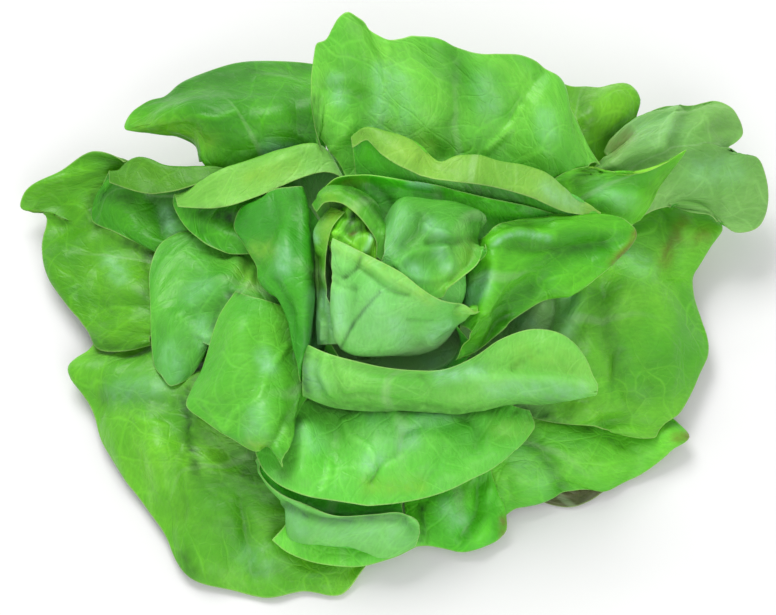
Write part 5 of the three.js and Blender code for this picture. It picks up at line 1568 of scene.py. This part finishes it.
# %% Slots, finishes and tints
BLISTERS = {"outer_leaf": (0.6, 0.05), "open_leaf": (0.5, 0.03), "wrapper_leaf": (0.4, 0.03),
            "heart_leaf": (0.3, 0.03), "withered_leaf": (0.8, 0.5)}
LOOKS = {
    "outer_front_left": ("outer_leaf", "olive", "cool_under", (1.41, 1.42, 1.03)),
    "low_back_left": ("outer_leaf", "deep", "cool_under", (1, 1, 1)),
    "low_back_right": ("outer_leaf", "deep", "cool_under", (1, 1, 1)),
    "withered_leaf": ("withered_leaf", "withered", "withered", (1, 1, 1)),
    "outer_front_right": ("outer_leaf", "meadow", "cool_under", (1.73, 1.5, 1.16)),
    "outer_left": ("outer_leaf", "olive", "olive_under", (0.94, 1.07, 0.29)),
    "outer_back_left": ("outer_leaf", "deep", "olive_under", (0.85, 1.14, 0.2)),
    "outer_back_right": ("outer_leaf", "olive", "cool_under", (1.39, 1.28, 0.7)),
    "outer_right_pale": ("outer_leaf", "meadow", "cool_under", (0.96, 1.02, 0.85)),
    "outer_right": ("outer_leaf", "meadow", "cool_under", (1.6, 1.22, 1.01)),
    "front_low": ("outer_leaf", "meadow", "cool_under", (1.41, 1.59, 0.92)),
    "front_under": ("outer_leaf", "meadow", "cool_under", (1.66, 1.61, 1.51)),
    "front_cupped": ("open_leaf", "meadow", "cool_under", (0.82, 1.28, 0.8)),
    "front_open": ("open_leaf", "bright", "green_under", (1.42, 1.26, 1.79)),
    "left_outer_rolled": ("open_leaf", "deep", "olive_under", (0.85, 1.19, 0.3)),
    "left_inner_rolled": ("open_leaf", "deep", "pale_under", (1.08, 1.45, 0.9)),
    "back_tall": ("open_leaf", "bright", "green_under", (1.49, 1.13, 1.4)),
    "right_back_fold": ("open_leaf", "meadow", "green_under", (1.53, 1.35, 0.44)),
    "left_tongue": ("open_leaf", "cool", "green_under", (1.02, 1.03, 0.59)),
    "left_front_flap": ("open_leaf", "bright", "green_under", (1.13, 1.02, 0.98)),
    "left_inner": ("open_leaf", "bright", "green_under", (0.46, 0.71, 0.34)),
    "right_wrap": ("open_leaf", "meadow", "green_under", (1.18, 1.19, 0.58)),
    "back_wrap": ("wrapper_leaf", "meadow", "pale_under", (1.14, 1.32, 0.69)),
    "front_wrap": ("wrapper_leaf", "bright", "green_under", (0.97, 1.08, 0.85)),
    "back_inner": ("wrapper_leaf", "meadow", "green_under", (1.11, 1.64, 0.71)),
    # Painted light: this tint lightens a leaf that lies in deep shadow.
    "inner_cup": ("wrapper_leaf", "cool", "green_under", (1.5, 1.6, 1.4)),
    "heart_right": ("heart_leaf", "bright", "green_under", (0.53, 0.82, 0.42)),
    "heart_curl": ("heart_leaf", "young", "young", (0.41, 0.8, 0.37)),
    "heart_left": ("heart_leaf", "young", "young", (0.62, 0.92, 0.62)),
    "heart_inner": ("heart_leaf", "young", "heart_under", (1.02, 1.21, 0.95)),
    "heart_bud": ("heart_leaf", "young", "young", (1.01, 1.45, 0.54)),
    "heart_front": ("heart_leaf", "bright", "heart_under", (0.85, 1.04, 0.79)),
}
print("looks of", len(LOOKS), "leaves")

# %% [markdown]
# ## Making every leaf
#
# Each leaf now gets its closed mesh, the relief tree with its own heights, and its two finishes. The evaluated
# result is kept as a plain mesh and the modifier is taken off, so that nothing is left to change later. Each
# piece then rides on the one body and hides the plain leaf it stands for.

# %% Leaves in the imported model
def with_relief(name, mesh, slot, upper, under):
    """The leaf's object, once the relief tree has lifted it, as a plain mesh."""
    item = bpy.data.objects.new(name, mesh)
    bpy.context.scene.collection.objects.link(item)
    modifier = item.modifiers.new("relief", "NODES")
    modifier.node_group = relief
    blister, pucker = BLISTERS[slot]
    modifier[relief_inputs["Blister height"]] = blister
    modifier[relief_inputs["Pucker height"]] = pucker
    modifier[relief_inputs["Upper finish"]] = FINISHES[upper]
    modifier[relief_inputs["Under finish"]] = FINISHES[under]
    seen = bpy.context.evaluated_depsgraph_get()
    item.data = bpy.data.meshes.new_from_object(item.evaluated_get(seen), preserve_all_data_layers=True,
                                                depsgraph=seen)
    item.modifiers.clear()
    item.data.name = name
    return item


triangles = 0
for number, (name, sheet) in enumerate(finished.items()):
    slot, upper, under, tint = LOOKS[name]
    piece = with_relief(name + "_blade", closed_leaf(name, sheet, number, tint), slot, upper, under)
    triangles += 2 * len(piece.data.polygons)
    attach(piece, "root")
    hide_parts(name)
print(len(LEAVES), "leaves,", triangles, "triangles")

# %% [markdown]
# ## The shape of the core
#
# Underneath, a short stump holds all the leaves. It was cut through when the head was picked, so its foot is a
# flat disc. It is turned like a pot: a profile spun round its axis, with fine ridges down its side where leaves
# were pulled off, and a foot that stays flat so that the head stands. The Screw modifier spins a profile too, but
# it can't press the ridges in.

# %% The stump
CORE_SIDES = 72
CORE_RINGS = 30
CUT_EDGE = 0.8
CUT_SHARES = (0.3, 0.6, 0.85)
CORNER_IN, CORNER_UP = 0.2, 0.3
CROWN = ((0.8, 2.6), (0.4, 3.7))
CROWN_HEIGHT = 4.0
RIDGES, RIDGE_DEPTH, RIDGE_TWIST, RIDGE_FROM = 9, 0.5, 0.35, 4


def core_profile():
    """Radius and height of each ring: the cut face, its edge, the side and the crown."""
    profile = [(core_radius(0) * share, 0.0) for share in CUT_SHARES]
    profile += [(core_radius(0) - CUT_EDGE, 0.0), (core_radius(0) - CORNER_IN, CORNER_UP)]
    profile += [(core_radius(height), height) for height in np.linspace(1.0, CORE_HEIGHT, CORE_RINGS)]
    return profile + [(CORE_TOP_RADIUS * share, CORE_HEIGHT + rise) for share, rise in CROWN]


def ring_points(radius, height):
    """One ring of the stump. Its ridges start above the foot and twist a little on the way up."""
    points = []
    for angle in np.linspace(0, 2 * math.pi, CORE_SIDES, endpoint=False):
        ridge = 0.5 + 0.5 * math.sin(RIDGES * angle + height * RIDGE_TWIST)
        round_in = radius - min(1.0, height / RIDGE_FROM) * RIDGE_DEPTH * ridge
        points.append((round_in * math.cos(angle), round_in * math.sin(angle), height))
    return points


def core_mesh():
    """The stump as a closed mesh, with a point in the middle of its foot and one on its crown."""
    rings = [ring_points(*ring) for ring in core_profile()]
    points = [(0.0, 0.0, 0.0), *sum(rings, []), (0.0, 0.0, CORE_HEIGHT + CROWN_HEIGHT)]
    last = 1 + (len(rings) - 1) * CORE_SIDES
    faces = []
    for side in range(CORE_SIDES):
        beyond = (side + 1) % CORE_SIDES
        faces.append((0, 1 + beyond, 1 + side))
        for low in range(1, last, CORE_SIDES):
            high = low + CORE_SIDES
            faces.append((low + side, low + beyond, high + beyond, high + side))
        faces.append((last + side, last + beyond, len(points) - 1))
    mesh = bpy.data.meshes.new("stump")
    mesh.from_pydata((np.array(points) * MM).tolist(), [], faces)
    mesh.polygons.foreach_set("use_smooth", np.ones(len(faces), bool))
    mesh.validate()
    return mesh


stump = bpy.data.objects.new("core_stump", core_mesh())
bpy.context.scene.collection.objects.link(stump)
print("core:", len(stump.data.polygons), "faces")

# %% [markdown]
# ## The finish of the core
#
# Cut flesh is pale and moist, and it browns in rings where the air reaches it, most towards the edge of the cut.
# A noise makes the rings uneven. The pattern reads the stump's own coordinates, so its sizes are in metres.

# %% Flesh that browns on the cut face
FLESH, FLESH_DARK, BROWNED = (214, 226, 184), (180, 206, 140), (150, 104, 62)
FLESH_BODY = {"Roughness": 0.5, "Subsurface Weight": 0.2, "Subsurface Radius": (1.0, 1.0, 0.6),
              "Subsurface Scale": 2.0 * MM}
FLESH_SCALE, FLESH_DETAIL = 260.0, 4.0
RING_STIR = 0.003
BROWN_FROM, BROWN_FULL = 0.0085, 0.0155
CUT_FACE_TO, SIDE_FROM = 0.0002, 0.0012
FLESH_BUMP = {"Strength": 0.6, "Distance": 0.5 * MM}


def core_finish():
    """Pale flesh that browns in rings on the cut face and towards its edge."""
    material, shader = principled("cut core", FLESH_BODY)
    tree = material.node_tree
    place = node(tree, "ShaderNodeTexCoord").outputs["Object"]
    parts = node(tree, "ShaderNodeSeparateXYZ", [(0, place)]).outputs
    squares = sums(tree, "ADD", sums(tree, "POWER", parts["X"], 2.0), sums(tree, "POWER", parts["Y"], 2.0))
    noise_inputs = [("Vector", place), ("Scale", FLESH_SCALE), ("Detail", FLESH_DETAIL)]
    patch = node(tree, "ShaderNodeTexNoise", noise_inputs).outputs["Fac"]
    ring = sums(tree, "MULTIPLY_ADD", patch, RING_STIR, sums(tree, "SQRT", squares))
    on_cut = fall(tree, parts["Z"], CUT_FACE_TO, SIDE_FROM)
    flesh = mixed(tree, patch, colour(*FLESH), colour(*FLESH_DARK))
    browned = times(tree, ramp(tree, ring, BROWN_FROM, BROWN_FULL), on_cut)
    tree.links.new(mixed(tree, browned, flesh, colour(*BROWNED)), shader.inputs["Base Color"])
    bump = node(tree, "ShaderNodeBump", [("Height", patch), *FLESH_BUMP.items()])
    tree.links.new(bump.outputs[0], shader.inputs["Normal"])
    return material


stump.data.materials.append(core_finish())
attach(stump, "root")
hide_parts("core")
print("the stump has the finish", stump.data.materials[0].name)
